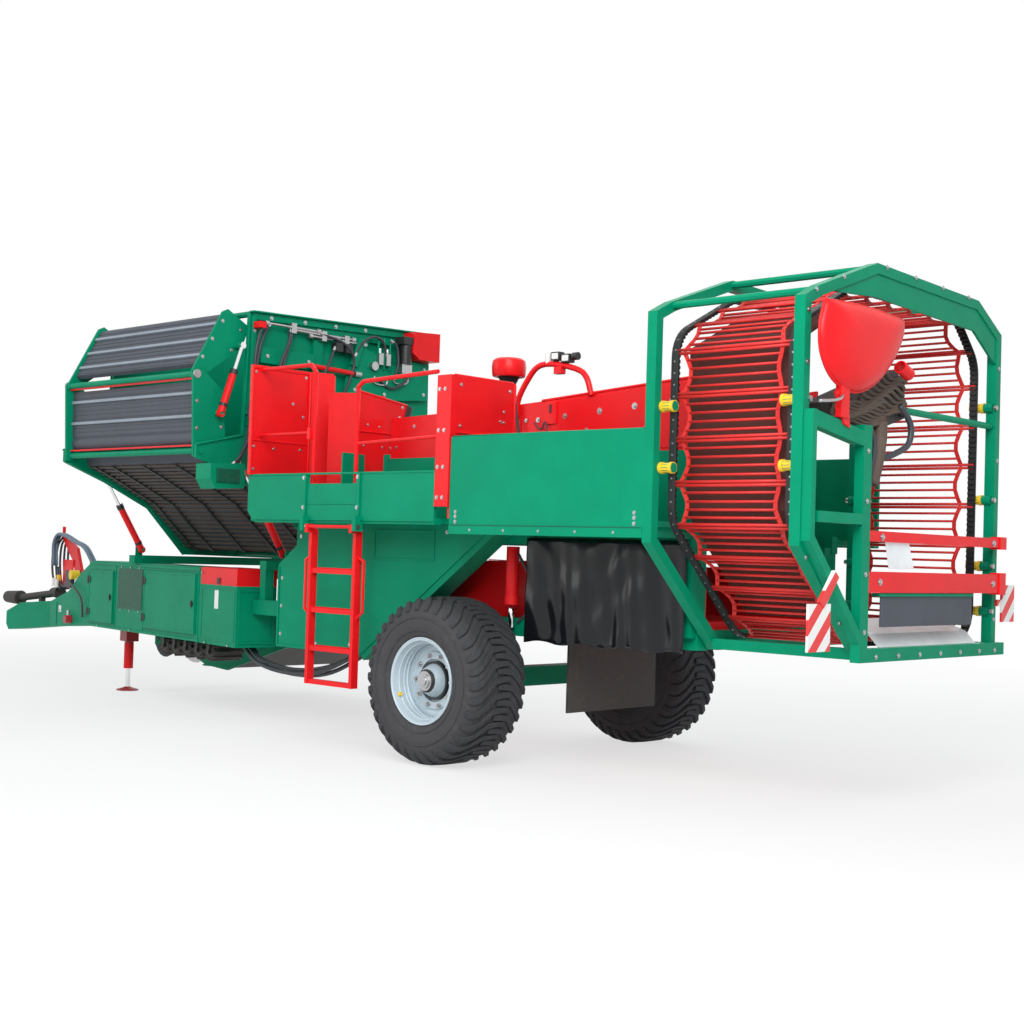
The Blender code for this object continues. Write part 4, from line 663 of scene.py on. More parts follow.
def bowl():
    """The smooth half-bowl guard of the web's drive, its fold, spout and bracket."""
    kit = Kit()
    edge = smoothed([(1.50, 3.345), (1.555, 3.18), (1.53, 3.00), (1.38, 2.85), (1.12, 2.795), (0.86, 2.88), (0.66, 3.04), (0.53, 3.22), (0.51, 3.345)], 5)
    top = [Vector((0.51 + 0.99 * k / 10, 3.345 + 0.02 * sin(pi * k / 10))) for k in range(1, 10)]
    outline = edge + top
    middle = Vector((1.08, 3.12))
    back, reach, rows = -3.525, 0.093, 10
    points = []
    for i in range(rows + 1):
        angle = radians(86) * i / rows
        scale = cos(angle) ** 0.62
        points += [(back - reach * sin(angle), *(middle + (p - middle) * scale)) for p in outline]
    count = len(outline)
    faces = [(i * count + k, i * count + (k + 1) % count, (i + 1) * count + (k + 1) % count, (i + 1) * count + k)
             for i in range(rows) for k in range(count)]
    kit.add(points, faces, True)
    kit.add(points[-count:], [tuple(range(count))], True)
    kit.add([(back, *p) for p in outline] + [(back + 0.004, *p) for p in outline],
            [tuple(reversed(range(count))), tuple(range(count, 2 * count))])
    kit.done("motor_bowl", "red_paint", "chassis", replaces=("motor_cover",))
    trim = Kit()
    trim.tube([(back - 0.002, *p) for p in outline], 0.010, 8, closed=True)
    trim.disc((0, -0.75, -0.25), (back - 0.03, 0.58, 3.02), 0.045, 0.0, 0.13, 24, inner=0.036)
    trim.box(-3.545, -3.50, 1.20, 1.30, 2.62, 2.84)
    trim.prism("X", [(1.36, 2.78), (1.24, 2.58), (1.17, 2.56), (1.20, 2.80)], -3.535, -3.520)
    trim.done("motor_bowl_trim", "red_paint", "chassis", bevel=0.003)
    hook = Kit()
    hook.tube(smoothed([(-3.54, 1.55, 2.70), (-3.56, 1.45, 2.71), (-3.57, 1.36, 2.73), (-3.55, 1.30, 2.76)]), 0.011, 8)
    hook.done("motor_bowl_hook", "bare_steel", "chassis")


bowl()
bundle = Kit()
for i in range(9):
    t = i / 8
    z = 2.72 + 0.25 * t
    line = [(-3.44 - 0.012 * sin(9 * k / 8 + i), 0.30 + (0.62 - 0.10 * t) * k / 8, z + 0.020 * sin(k * 1.3 + i)) for k in range(9)]
    bundle.tube(smoothed(line, 3), 0.015, 8)
for i in range(8):
    t = i / 7
    line = [(-3.445 - 0.010 * sin(k + i), 0.58 + 0.66 * k / 8, 2.615 + 0.16 * t - 0.05 * t * k / 8 + 0.012 * sin(k * 1.5 + i)) for k in range(9)]
    bundle.tube(smoothed(line, 3), 0.014, 8)
bundle.done("hose_bundle_sleeves", "brown", "chassis")
tails = Kit()
tails.tube(smoothed([(-3.46, 0.40, 2.78), (-3.49, 0.30, 2.66), (-3.49, 0.32, 2.52), (-3.47, 0.48, 2.44), (-3.45, 0.62, 2.40)]), 0.022, 12)
tails.tube(smoothed([(-3.46, 0.80, 2.62), (-3.48, 0.76, 2.48), (-3.47, 0.78, 2.30), (-3.46, 0.80, 2.12)]), 0.018, 10)
tails.done("hose_bundle_tails", "hose", "chassis")
mesh_sheet = Kit()
mesh_sheet.tube(smoothed([(-3.44, 0.62, 2.64), (-3.46, 0.66, 2.52), (-3.46, 0.70, 2.36), (-3.45, 0.74, 2.22)]), 0.05, 12)
mesh_sheet.done("hose_bundle_lower", "brown", "chassis")
bolts = Kit()
for y, z in ((1.565, 3.28), (1.565, 2.95), (1.565, 2.52), (1.565, 2.12), (1.52, 1.72), (1.10, 1.30), (0.84, 1.07), (0.40, 1.07), (0.0, 1.07), (-0.4, 1.07),
             (-0.8, 1.07), (-1.12, 1.30), (-1.12, 2.50), (-1.12, 3.20), (0.6, 3.70), (0.2, 3.69), (-0.2, 3.68), (-0.6, 3.67), (1.15, 3.55), (1.48, 3.42)):
    bolts.bolt((-3.452, y, z), (-1, 0, 0), 0.011, 0.008)
for y in (0.75, 0.45, 0.15, -0.15, -0.45, -0.75, -1.0):
    bolts.bolt((-3.522, y, 1.075), (-1, 0, 0), 0.012, 0.008)
for z in (2.43, 2.10, 1.62, 1.24):
    bolts.bolt((-3.522, 0.91, z), (-1, 0, 0), 0.012, 0.008)
for y, z in ((-0.95, 1.87), (0.70, 1.87), (-0.95, 1.57), (0.72, 1.57)):
    bolts.bolt((-3.522, y, z), (-1, 0, 0), 0.016, 0.012)
bolts.done("ring_bolts", "bare_steel", "chassis")
sheet_top = Kit()
sheet_top.prism("X", [(0.62, 1.845), (0.30, 1.845), (0.22, 1.66), (0.56, 1.66)], -3.50, -3.495)
sheet_top.done("chute_sheet", "white_sheet", "chassis")
flap_top = Kit()
flap_top.box(-3.512, -3.450, -0.66, 0.70, 1.475, 1.497)
flap_top.done("chute_flap_holder", "green_paint", "chassis", bevel=0.002)
ends = Kit()
for z, h in ((1.84, 0.07), (1.50, 0.14)):
    ends.box(-3.532, -3.448, -1.150, -1.05, z - 0.012, z + h + 0.012)
ends.done("crossbeam_ends", "red_paint", "chassis", bevel=0.004)


def curtain():
    """A heavy black film that hangs from the deck rail in slow folds."""
    x0, x1, z0, z1 = -2.155, -0.605, 1.005, 1.812
    columns, rows = 120, 24
    points = []
    for j in range(rows + 1):
        low = 1 - j / rows
        for i in range(columns + 1):
            u = i / columns
            wave = 0.010 * sin(u * 23 + 1.5 * sin(u * 5 + low)) + 0.006 * sin(u * 61 + 3 * low + sin(u * 17))
            crease = 0.007 * sin(low * 13 + 5 * sin(u * 7)) * sin(u * 9 + low * 4)
            y = 0.996 + 0.006 + (0.30 + 0.70 * low) * (wave + 0.016) + 0.006 + crease
            points.append(P(x0 + (x1 - x0) * u, y, z0 + (z1 - z0) * j / rows + 0.012 * low * sin(u * 23)))
    faces = [(j * (columns + 1) + i, j * (columns + 1) + i + 1, (j + 1) * (columns + 1) + i + 1, (j + 1) * (columns + 1) + i)
             for j in range(rows) for i in range(columns)]
    mesh = bpy.data.meshes.new("curtain_folds")
    mesh.from_pydata(points, [], faces)
    mesh.polygons.foreach_set("use_smooth", [True] * len(faces))
    made = bpy.data.objects.new("curtain_folds", mesh)
    bpy.context.scene.collection.objects.link(made)
    mesh.materials.append(LOOKS["curtain_film"])
    thick = made.modifiers.new("thickness", "SOLIDIFY")
    thick.thickness, thick.offset = 0.003, 0
    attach(made, "chassis")
    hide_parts("curtain")
    return made


curtain()

# ---------------------------------------------------------------- bunker wall
WALL_X = 2.955  # a hair off the bunker's rear wall
HOSE_X = 2.915


def bunker_wall():
    """Flange, arm plate, pipes, valves, motor and small ram on the bunker's rear wall."""
    green = Kit()
    flange = [(1.06, 3.895), (1.04, 3.825), (-1.20, 3.895), (-1.22, 3.968)]
    green.prism("X", flange, 2.962, 2.992)
    green.prism("X", [(1.08, 3.89), (1.08, 3.905), (-1.24, 3.978), (-1.24, 3.963)], 2.925, 2.992)
    arm = [(-0.31, 3.76), (-0.16, 3.57), (-0.09, 3.40), (-0.06, 3.24), (-0.77, 3.22), (-1.20, 3.26), (-1.22, 3.64), (-0.96, 3.65), (-0.92, 3.52), (-0.36, 3.70)]
    green.prism("X", arm, 2.925, 2.940)
    green.prism("X", [(-0.30, 3.80), (-0.22, 3.80), (-0.12, 3.52), (-0.20, 3.50)], 2.890, 2.925)
    green.box(2.93, 2.992, 0.32, 0.97, 3.42, 3.57)
    green.box(2.95, 2.992, 0.20, 0.32, 3.35, 3.80)
    green.box(2.95, 2.992, 1.02, 1.07, 2.80, 3.86)
    for y in (-0.48, -0.56, -0.64):
        green.tube([(2.90, y, 3.52), (2.90, y, 3.84)], 0.012, 8)
    green.box(2.93, 2.992, -0.70, -0.42, 3.66, 3.70)
    green.box(2.93, 2.992, -0.70, -0.42, 3.78, 3.82)
    green.box(2.965, 2.992, 0.20, 1.10, 2.92, 2.96)
    green.bar((2.97, 0.16, 2.40), (2.97, 1.08, 2.84), 0.04, 0.05)
    green.done("bunker_wall_plates", "green_paint", "bunker", bevel=0.004)
    steel = Kit()
    for z, y0, y1 in ((3.80, 0.93, 0.30), (3.775, 0.60, -0.15), (3.745, 0.40, -0.30)):
        steel.tube([(HOSE_X, y0, z), (HOSE_X, y1, z)], 0.013, 10)
        for y in (y0, (y0 + y1) / 2, y1):
            steel.disc((0, 1, 0), (HOSE_X, y, z), 0.026, -0.022, 0.022, 6)
    for y, z in ((0.62, 3.79), (0.24, 3.76), (-0.05, 3.75)):
        steel.box(2.885, 2.955, y - 0.03, y + 0.03, z - 0.05, z + 0.05)
    for y in (-0.50, -0.60):
        steel.box(2.87, 2.93, y - 0.03, y + 0.03, 3.56, 3.68)
        steel.disc((0, 0, 1), (2.90, y, 3.68), 0.018, 0, 0.05, 12)
    for y, z in ((-0.42, 3.54), (-0.82, 3.56)):
        steel.disc((1, 0, 0), (0, y, z), 0.045, 2.87, 2.93, 20)
    steel.box(2.84, 2.93, -0.90, -0.76, 3.50, 3.60)
    steel.disc((0, 1, 0), (2.90, 0.42, 3.452), 0.026, -0.05, 0.0, 16)
    steel.disc((0, 1, 0), (2.90, -0.20, 3.435), 0.028, -0.05, 0.03, 16)
    steel.tube(smoothed([(2.90, -0.44, 3.44), (2.90, -0.44, 3.37), (2.90, -0.60, 3.37), (2.90, -0.60, 3.46)], 4), 0.008, 8)
    steel.tube(smoothed([(2.90, -0.70, 3.48), (2.90, -0.72, 3.40), (2.90, -0.88, 3.41), (2.90, -0.90, 3.48)], 4), 0.008, 8)
    for y in (0.84, 0.43, 0.04, -0.35):
        steel.bolt((2.962, y, 3.90 + (1.06 - y) * 0.031 - 0.045), (-1, 0, 0), 0.014, 0.010)
    for y, z in ((1.045, 3.72), (1.045, 3.30), (1.045, 2.95), (0.90, 3.49), (0.40, 3.49), (-1.15, 3.32), (-1.15, 3.58), (-0.20, 3.28), (-0.60, 3.27)):
        steel.bolt((2.925 if y < 0.95 else 2.95, y, z), (-1, 0, 0), 0.013, 0.010)
    steel.done("bunker_wall_fittings", "bare_steel", "bunker", bevel=0.003)
    ram = Kit()
    ram.tube([(2.90, 0.36, 3.452), (2.90, -0.15, 3.437)], 0.024, 16)
    ram.box(2.85, 2.95, 0.98, 1.06, 3.74, 3.80)
    ram.done("bunker_wall_ram", "red_paint", "bunker", bevel=0.002)
    motor = Kit()
    motor.disc((0, 0, 1), (2.87, -0.83, 3.60), 0.062, 0, 0.20, 24)
    for k in range(6):
        motor.disc((0, 0, 1), (2.87, -0.83, 3.62 + 0.028 * k), 0.068, 0, 0.010, 24)
    motor.box(2.80, 2.94, -0.92, -0.74, 3.80, 3.88)
    for y in (0.05, -0.08):
        motor.box(2.875, 2.955, y - 0.045, y + 0.045, 3.63, 3.72)
    motor.done("bunker_wall_motor", "black", "bunker", bevel=0.003)
    hoses = Kit()
    lines = [
        [(2.90, -0.17, 3.62), (2.89, -0.24, 3.74), (2.88, -0.38, 3.83), (2.88, -0.52, 3.80), (2.89, -0.58, 3.66)],
        [(2.90, 0.28, 3.78), (2.88, 0.00, 3.72), (2.88, -0.14, 3.58), (2.90, -0.10, 3.34), (2.90, 0.05, 3.10)],
        [(HOSE_X, 0.62, 3.77), (2.89, 0.66, 3.66), (2.88, 0.72, 3.50), (2.89, 0.76, 3.30), (2.91, 0.80, 3.05), (2.91, 0.86, 2.78)],
        [(HOSE_X, 0.64, 3.77), (2.87, 0.70, 3.62), (2.87, 0.77, 3.46), (2.88, 0.84, 3.20), (2.90, 0.90, 2.92), (2.90, 1.02, 2.62)],
        [(HOSE_X, 0.93, 3.80), (2.88, 1.00, 3.76), (2.87, 1.06, 3.62), (2.87, 1.09, 3.40), (2.88, 1.10, 3.10), (2.88, 1.12, 2.80), (2.88, 1.20, 2.50), (2.88, 1.30, 2.42)],
        [(HOSE_X, 0.90, 3.79), (2.90, 0.96, 3.70), (2.89, 1.02, 3.55), (2.90, 1.05, 3.30), (2.90, 1.06, 3.00), (2.89, 1.12, 2.66), (2.89, 1.22, 2.44)],
        [(2.90, 1.10, 3.02), (2.84, 1.16, 2.92), (2.82, 1.15, 2.78), (2.86, 1.16, 2.66), (2.90, 1.22, 2.44)],
        [(2.90, 1.02, 2.74), (2.82, 1.14, 2.70), (2.80, 1.22, 2.60), (2.82, 1.26, 2.50), (2.84, 1.32, 2.43)],
        [(2.88, -0.83, 3.62), (2.86, -0.86, 3.48), (2.88, -0.78, 3.38), (2.90, -0.64, 3.34), (2.91, -0.50, 3.42)],
        [(2.89, -0.64, 3.82), (2.87, -0.70, 3.78), (2.87, -0.73, 3.60), (2.89, -0.70, 3.44)],
        [(2.90, 0.10, 3.66), (2.88, 0.18, 3.50), (2.90, 0.30, 3.20), (2.91, 0.34, 2.90), (2.91, 0.30, 2.55)],
    ]
    for line in lines:
        hoses.tube(smoothed(line, 6), 0.014, 10)
    hoses.done("bunker_wall_hoses", "hose", "bunker")
    ends = Kit()
    for line in lines:
        for a, b in ((line[0], line[1]), (line[-1], line[-2])):
            run = (Vector(b) - Vector(a)).normalized()
            ends.disc(run, a, 0.019, -0.012, 0.028, 8)
    ends.done("bunker_wall_hose_ends", "bare_steel", "bunker", bevel=0.002)
    lamps = Kit()
    lamps.box(2.745, 2.762, 1.30, 1.56, 2.25, 2.38)
    lamps.done("lamp_box_face", "dark_green", "bunker", bevel=0.004)


bunker_wall()


def bunker_shell():
    """Seams, folded edges and bolts of the hopper and of the two elevator sections."""
    kit = Kit()
    for x in (2.984, 5.316):
        out = -1 if x < 4 else 1
        for a, b in (((1.63, 2.60), (1.12, 2.72)), ((1.12, 2.72), (1.08, 3.88)), ((1.13, 2.30), (0.60, 2.05)), ((0.60, 2.05), (0.12, 1.56)), ((1.60, 2.48), (1.13, 2.30))):
            kit.bar((x + out * 0.004, *a), (x + out * 0.004, *b), 0.020, 0.020)
    for x in (3.55, 4.15, 4.75):
        kit.box(x - 0.02, x + 0.02, -1.295, -1.270, 2.52, 3.95)
    kit.box(3.0, 5.3, -1.30, -1.262, 3.93, 3.975)
    kit.done("bunker_edges", "green_paint", "bunker", bevel=0.004)
    bolts = Kit()
    for x, out in ((2.990, -1), (5.310, 1)):
        for k in range(7):
            y = 1.0 - 0.17 * k
            bolts.bolt((x, y, 1.56 + 0.66 * min(1, max(0, (y + 0.1) / 1.1)) + 0.12), (out, 0, 0), 0.011, 0.009)
        bolts.disc((1, 0, 0), (0, -1.24, 1.60), 0.050, *sorted((x, x + out * 0.012)), 24)
    bolts.done("bunker_bolts", "bare_steel", "bunker", bevel=0.002)
    low = Kit()
    for x, out in ((3.030, -1), (5.270, 1)):
        for y, z in ((1.60, 2.75), (1.61, 3.00), (1.34, 3.00), (1.33, 2.78)):
            low.bolt((x, y, z), (out, 0, 0), 0.012, 0.009)
        low.disc((1, 0, 0), (0, 1.62, 3.25), 0.040, *sorted((x, x + out * 0.010)), 20)
    low.done("lower_section_bolts", "bare_steel", "lower_section", bevel=0.002)
    tip = Kit()
    for x, out in ((3.065, -1), (5.235, 1)):
        for y, z in ((1.54, 3.42), (1.44, 3.60), (1.33, 3.78), (1.12, 3.72), (1.22, 3.52)):
            tip.bolt((x, y, z), (out, 0, 0), 0.012, 0.009)
    tip.done("tip_section_bolts", "bare_steel", "tip_section", bevel=0.002)
    glow = Kit()
    glow.tube([(3.10, 1.13, 3.72), (5.20, 1.13, 3.72)], 0.018, 10)
    glow.done("tip_section_rod", "red_paint", "tip_section")


bunker_shell()


# ---------------------------------------------------------------- shields, deck and picking wall
def shields():
    """Seams, folds, bolts and the rubber lip of the red shields."""
    red = Kit()
    red.box(2.152, 2.1605, 1.00, 1.635, 2.608, 2.620)
    for z in (2.318, 3.262):
        red.box(2.150, 2.1605, 1.00 if z > 3 else 1.50, 1.638, z - 0.012, z + 0.012)
    red.box(2.148, 2.1605, 1.624, 1.640, 2.32, 3.27)
    red.tube([(2.145, 1.00, 1.97), (2.145, 1.00, 3.26)], 0.013, 8)
    red.tube([(2.05, 0.80, 1.97), (2.05, 0.80, 3.26)], 0.012, 8)
    red.box(-0.322, -0.3105, 0.89, 1.54, 2.60, 2.612)
    red.tube([(-0.305, 0.885, 2.60), (-0.305, 0.885, 3.04)], 0.012, 8)
    red.tube([(-0.295, 0.90, 3.05), (-0.295, 1.56, 3.05)], 0.012, 8)
    red.tube([(1.525, 0.37, 3.00), (1.525, 0.94, 3.078)], 0.012, 8)
    red.box(1.508, 1.5195, 0.52, 0.94, 2.72, 2.730)
    red.box(1.43, 1.47, 1.54, 1.57, 2.60, 2.70)
    red.done("shield_edges", "red_paint", "chassis", bevel=0.003)
    bolts = Kit()
    for y, z in ((1.60, 2.56), (1.38, 2.55), (1.08, 2.56), (1.06, 2.86), (1.18, 2.97), (1.60, 3.22), (1.04, 3.22), (1.60, 2.36)):
        bolts.bolt((2.160, y, z), (-1, 0, 0), 0.010, 0.008)
    for y, z in ((1.012, 2.81), (1.05, 2.73), (1.01, 2.725), (1.50, 2.66), (1.50, 2.98), (0.95, 2.98)):
        bolts.bolt((-0.311, y, z), (-1, 0, 0), 0.010, 0.008)
    for z in (2.336, 2.10, 2.62, 2.94):
        for x in (-0.19, -0.25):
            bolts.bolt((x, 1.6125, z), (0, 1, 0), 0.011, 0.009)
    for k in range(5):
        t = k / 4
        bolts.bolt((1.519, 0.56 - 0.13 * t, 2.60 + 0.38 * t), (-1, 0, 0), 0.009, 0.007)
    for y, z in ((0.70, 2.78), (0.84, 2.79), (0.88, 2.60), (0.66, 2.60)):
        bolts.bolt((1.519, y, z), (-1, 0, 0), 0.009, 0.007)
    for x in (0.735, 1.425):
        bolts.bolt((x, 1.618, 2.02), (0, 1, 0), 0.012, 0.010)
        bolts.bolt((x, 1.618, 2.27), (0, 1, 0), 0.012, 0.010)
    bolts.done("shield_bolts", "bare_steel", "chassis", bevel=0.001)
    lip = Kit()
    lip.bar((1.513, 0.485, 2.56), (1.513, 0.345, 2.99), 0.008, 0.060)
    lip.tube([(1.508, 0.46, 2.56), (1.508, 0.32, 2.99)], 0.011, 8)
    lip.done("hood_lip", "dark_flap", "chassis")
    posts = Kit()
    for x in (0.715, 1.405):
        posts.box(x, x + 0.042, 1.6005, 1.618, 1.925, 2.305)
    posts.box(0.77, 1.395, 1.6005, 1.606, 2.045, 2.055)
    posts.box(-0.145, 2.215, 1.590, 1.606, 2.296, 2.312)
    posts.box(-0.14, 2.12, 1.598, 1.604, 1.912, 1.922)
    posts.done("kick_panel_posts", "green_paint", "chassis", bevel=0.004)
    column = Kit()
    outline = [(1.42, 0.95), (1.30, 1.06), (1.24, 1.20), (1.23, 1.36), (1.25, 1.36), (1.26, 1.21), (1.315, 1.08), (1.43, 0.97)]
    column.prism("Z", outline, 1.945, 2.50)
    column.done("deck_column", "green_paint", "chassis", bevel=0.002)


shields()


def side_panel_trim():
    """Bolts at the ends of the long panels, the folded lower edge and the dark seam over it."""
    bolts, seam = Kit(), Kit()
    for sign in (1, -1):
        ends = (-2.13, -0.39) if sign > 0 else (-2.13, 2.14)
        y = sign * 1.6005
        for x in ends:
            for z in (1.915, 1.955, 1.99):
                bolts.bolt((x, y, z), (0, sign, 0), 0.010, 0.007)
        low, high = sorted((sign * 1.6035, sign * 1.6065))
        seam.box(-2.19, ends[1] + 0.06, *sorted((sign * 1.599, sign * 1.605)), 1.8855, 1.8915)
    for x in (-1.95, -1.60, -1.25, -0.90, -0.55):
        bolts.bolt((x, 1.6035, 1.853), (0, 1, 0), 0.007, 0.005)
    bolts.done("side_panel_bolts", "bare_steel", "chassis", bevel=0.001)
    seam.done("side_panel_seam", "dark_green", "chassis")
    edge = Kit()
    for sign in (1, -1):
        x1 = -0.33 if sign > 0 else 2.21
        edge.tube([(-2.19, sign * 1.588, 2.566), (x1, sign * 1.588, 2.566)], 0.011, 8)
    edge.done("side_panel_edge", "green_paint", "chassis")


side_panel_trim()


def picking_wall():
    """Panel, big washers, clamp plate, tube arch with its lamps, and the capped intake."""
    red, steel, black, white_kit, hose = Kit(), Kit(), Kit(), Kit(), Kit()
    y = 0.6205
    red.prism("Y", [(-2.08, 2.52), (-0.56, 2.52), (-0.56, 2.925), (-2.08, 3.03)], y, y + 0.006)
    red.tube([(-2.09, y - 0.005, 3.06), (-0.36, y - 0.005, 2.935)], 0.013, 8)
    red.box(-0.53, -0.41, y, y + 0.016, 2.74, 2.92)
    red.tube(smoothed([(-0.10, 0.635, 2.80), (-0.11, 0.635, 2.95), (-0.20, 0.635, 3.10), (-0.32, 0.635, 3.215), (-0.50, 0.635, 3.225), (-0.74, 0.635, 3.17), (-0.84, 0.635, 3.10), (-0.90, 0.635, 2.95)], 6), 0.024, 14)
    red.box(-0.60, -0.52, 0.61, 0.67, 3.14, 3.20)
    red.box(-0.14, -0.06, y, y + 0.012, 2.62, 2.82)
    red.done("picking_wall_parts", "red_paint", "chassis", bevel=0.003)
    for x, z, size in ((-0.62, 2.80, 0.020), (-0.98, 2.825, 0.023), (-1.33, 2.85, 0.023), (-1.69, 2.87, 0.023), (-0.85, 2.68, 0.018), (-0.20, 2.78, 0.014), (-0.33, 2.78, 0.018)):
        steel.disc((0, 1, 0), (x, y + 0.005, z), size * 1.15, 0, 0.004, 20)
        steel.disc((0, 1, 0), (x, y + 0.005, z), size * 0.6, 0, 0.015, 6)
    for x, z in ((0.35, 2.80), (0.75, 2.80), (1.15, 2.78), (1.38, 2.60), (0.35, 2.58), (0.75, 2.58)):
        steel.bolt((x, y, z), (0, 1, 0), 0.011, 0.008)
    steel.done("picking_wall_washers", "bare_steel", "chassis", bevel=0.001)
    black.box(-0.482, -0.458, y + 0.014, y + 0.022, 2.83, 2.90)
    black.disc((0, 0, 1), (0.02, 0.62, 2.925), 0.045, 0, 0.06, 20)
    black.tube([(0.02, 0.62, 2.93), (0.02, 0.62, 3.06), (0.02, 0.62, 3.14), (0.02, 0.62, 3.17)], 0.03, 24, radii=[0.040, 0.045, 0.085, 0.125])
    for x, z in ((-0.53, 3.285), (-0.64, 3.262)):
        black.box(x - 0.045, x + 0.045, 0.60, 0.67, z - 0.035, z + 0.035)
        black.tube([(x, 0.635, 3.20), (x, 0.635, 3.25)], 0.012, 8)
    black.disc((1, 0, 0), (0, 0.635, 3.275), 0.032, -0.75, -0.70, 16)
    black.done("picking_wall_fittings", "black", "chassis", bevel=0.005)
    white_kit.disc((0, 0, 1), (-0.43, 0.635, 3.235), 0.024, 0, 0.085, 16)
    for x, z in ((-0.53, 3.285), (-0.64, 3.262)):
        white_kit.box(x - 0.034, x + 0.034, 0.668, 0.674, z - 0.024, z + 0.024)
    white_kit.done("arch_lamps", "white", "chassis", bevel=0.003)
    cap = Kit()
    cap.tube([(0.02, 0.62, 3.150), (0.02, 0.62, 3.165), (0.02, 0.62, 3.235), (0.02, 0.62, 3.285), (0.02, 0.62, 3.305), (0.02, 0.62, 3.312)], 0.1, 36,
             radii=[0.132, 0.140, 0.145, 0.138, 0.110, 0.050])
    cap.done("intake_cap", "red_paint", "chassis", bevel=0.004)
    hose.tube(smoothed([(-0.10, 0.66, 2.98), (-0.12, 0.665, 2.84), (-0.16, 0.665, 2.66), (-0.17, 0.665, 2.52)], 5), 0.010, 8)
    hose.tube(smoothed([(-0.30, 0.640, 2.76), (-0.38, 0.645, 2.70), (-0.42, 0.645, 2.76), (-0.45, 0.645, 2.66), (-0.40, 0.645, 2.52)], 5), 0.006, 8)
    hose.done("picking_wall_hoses", "hose", "chassis")


picking_wall()


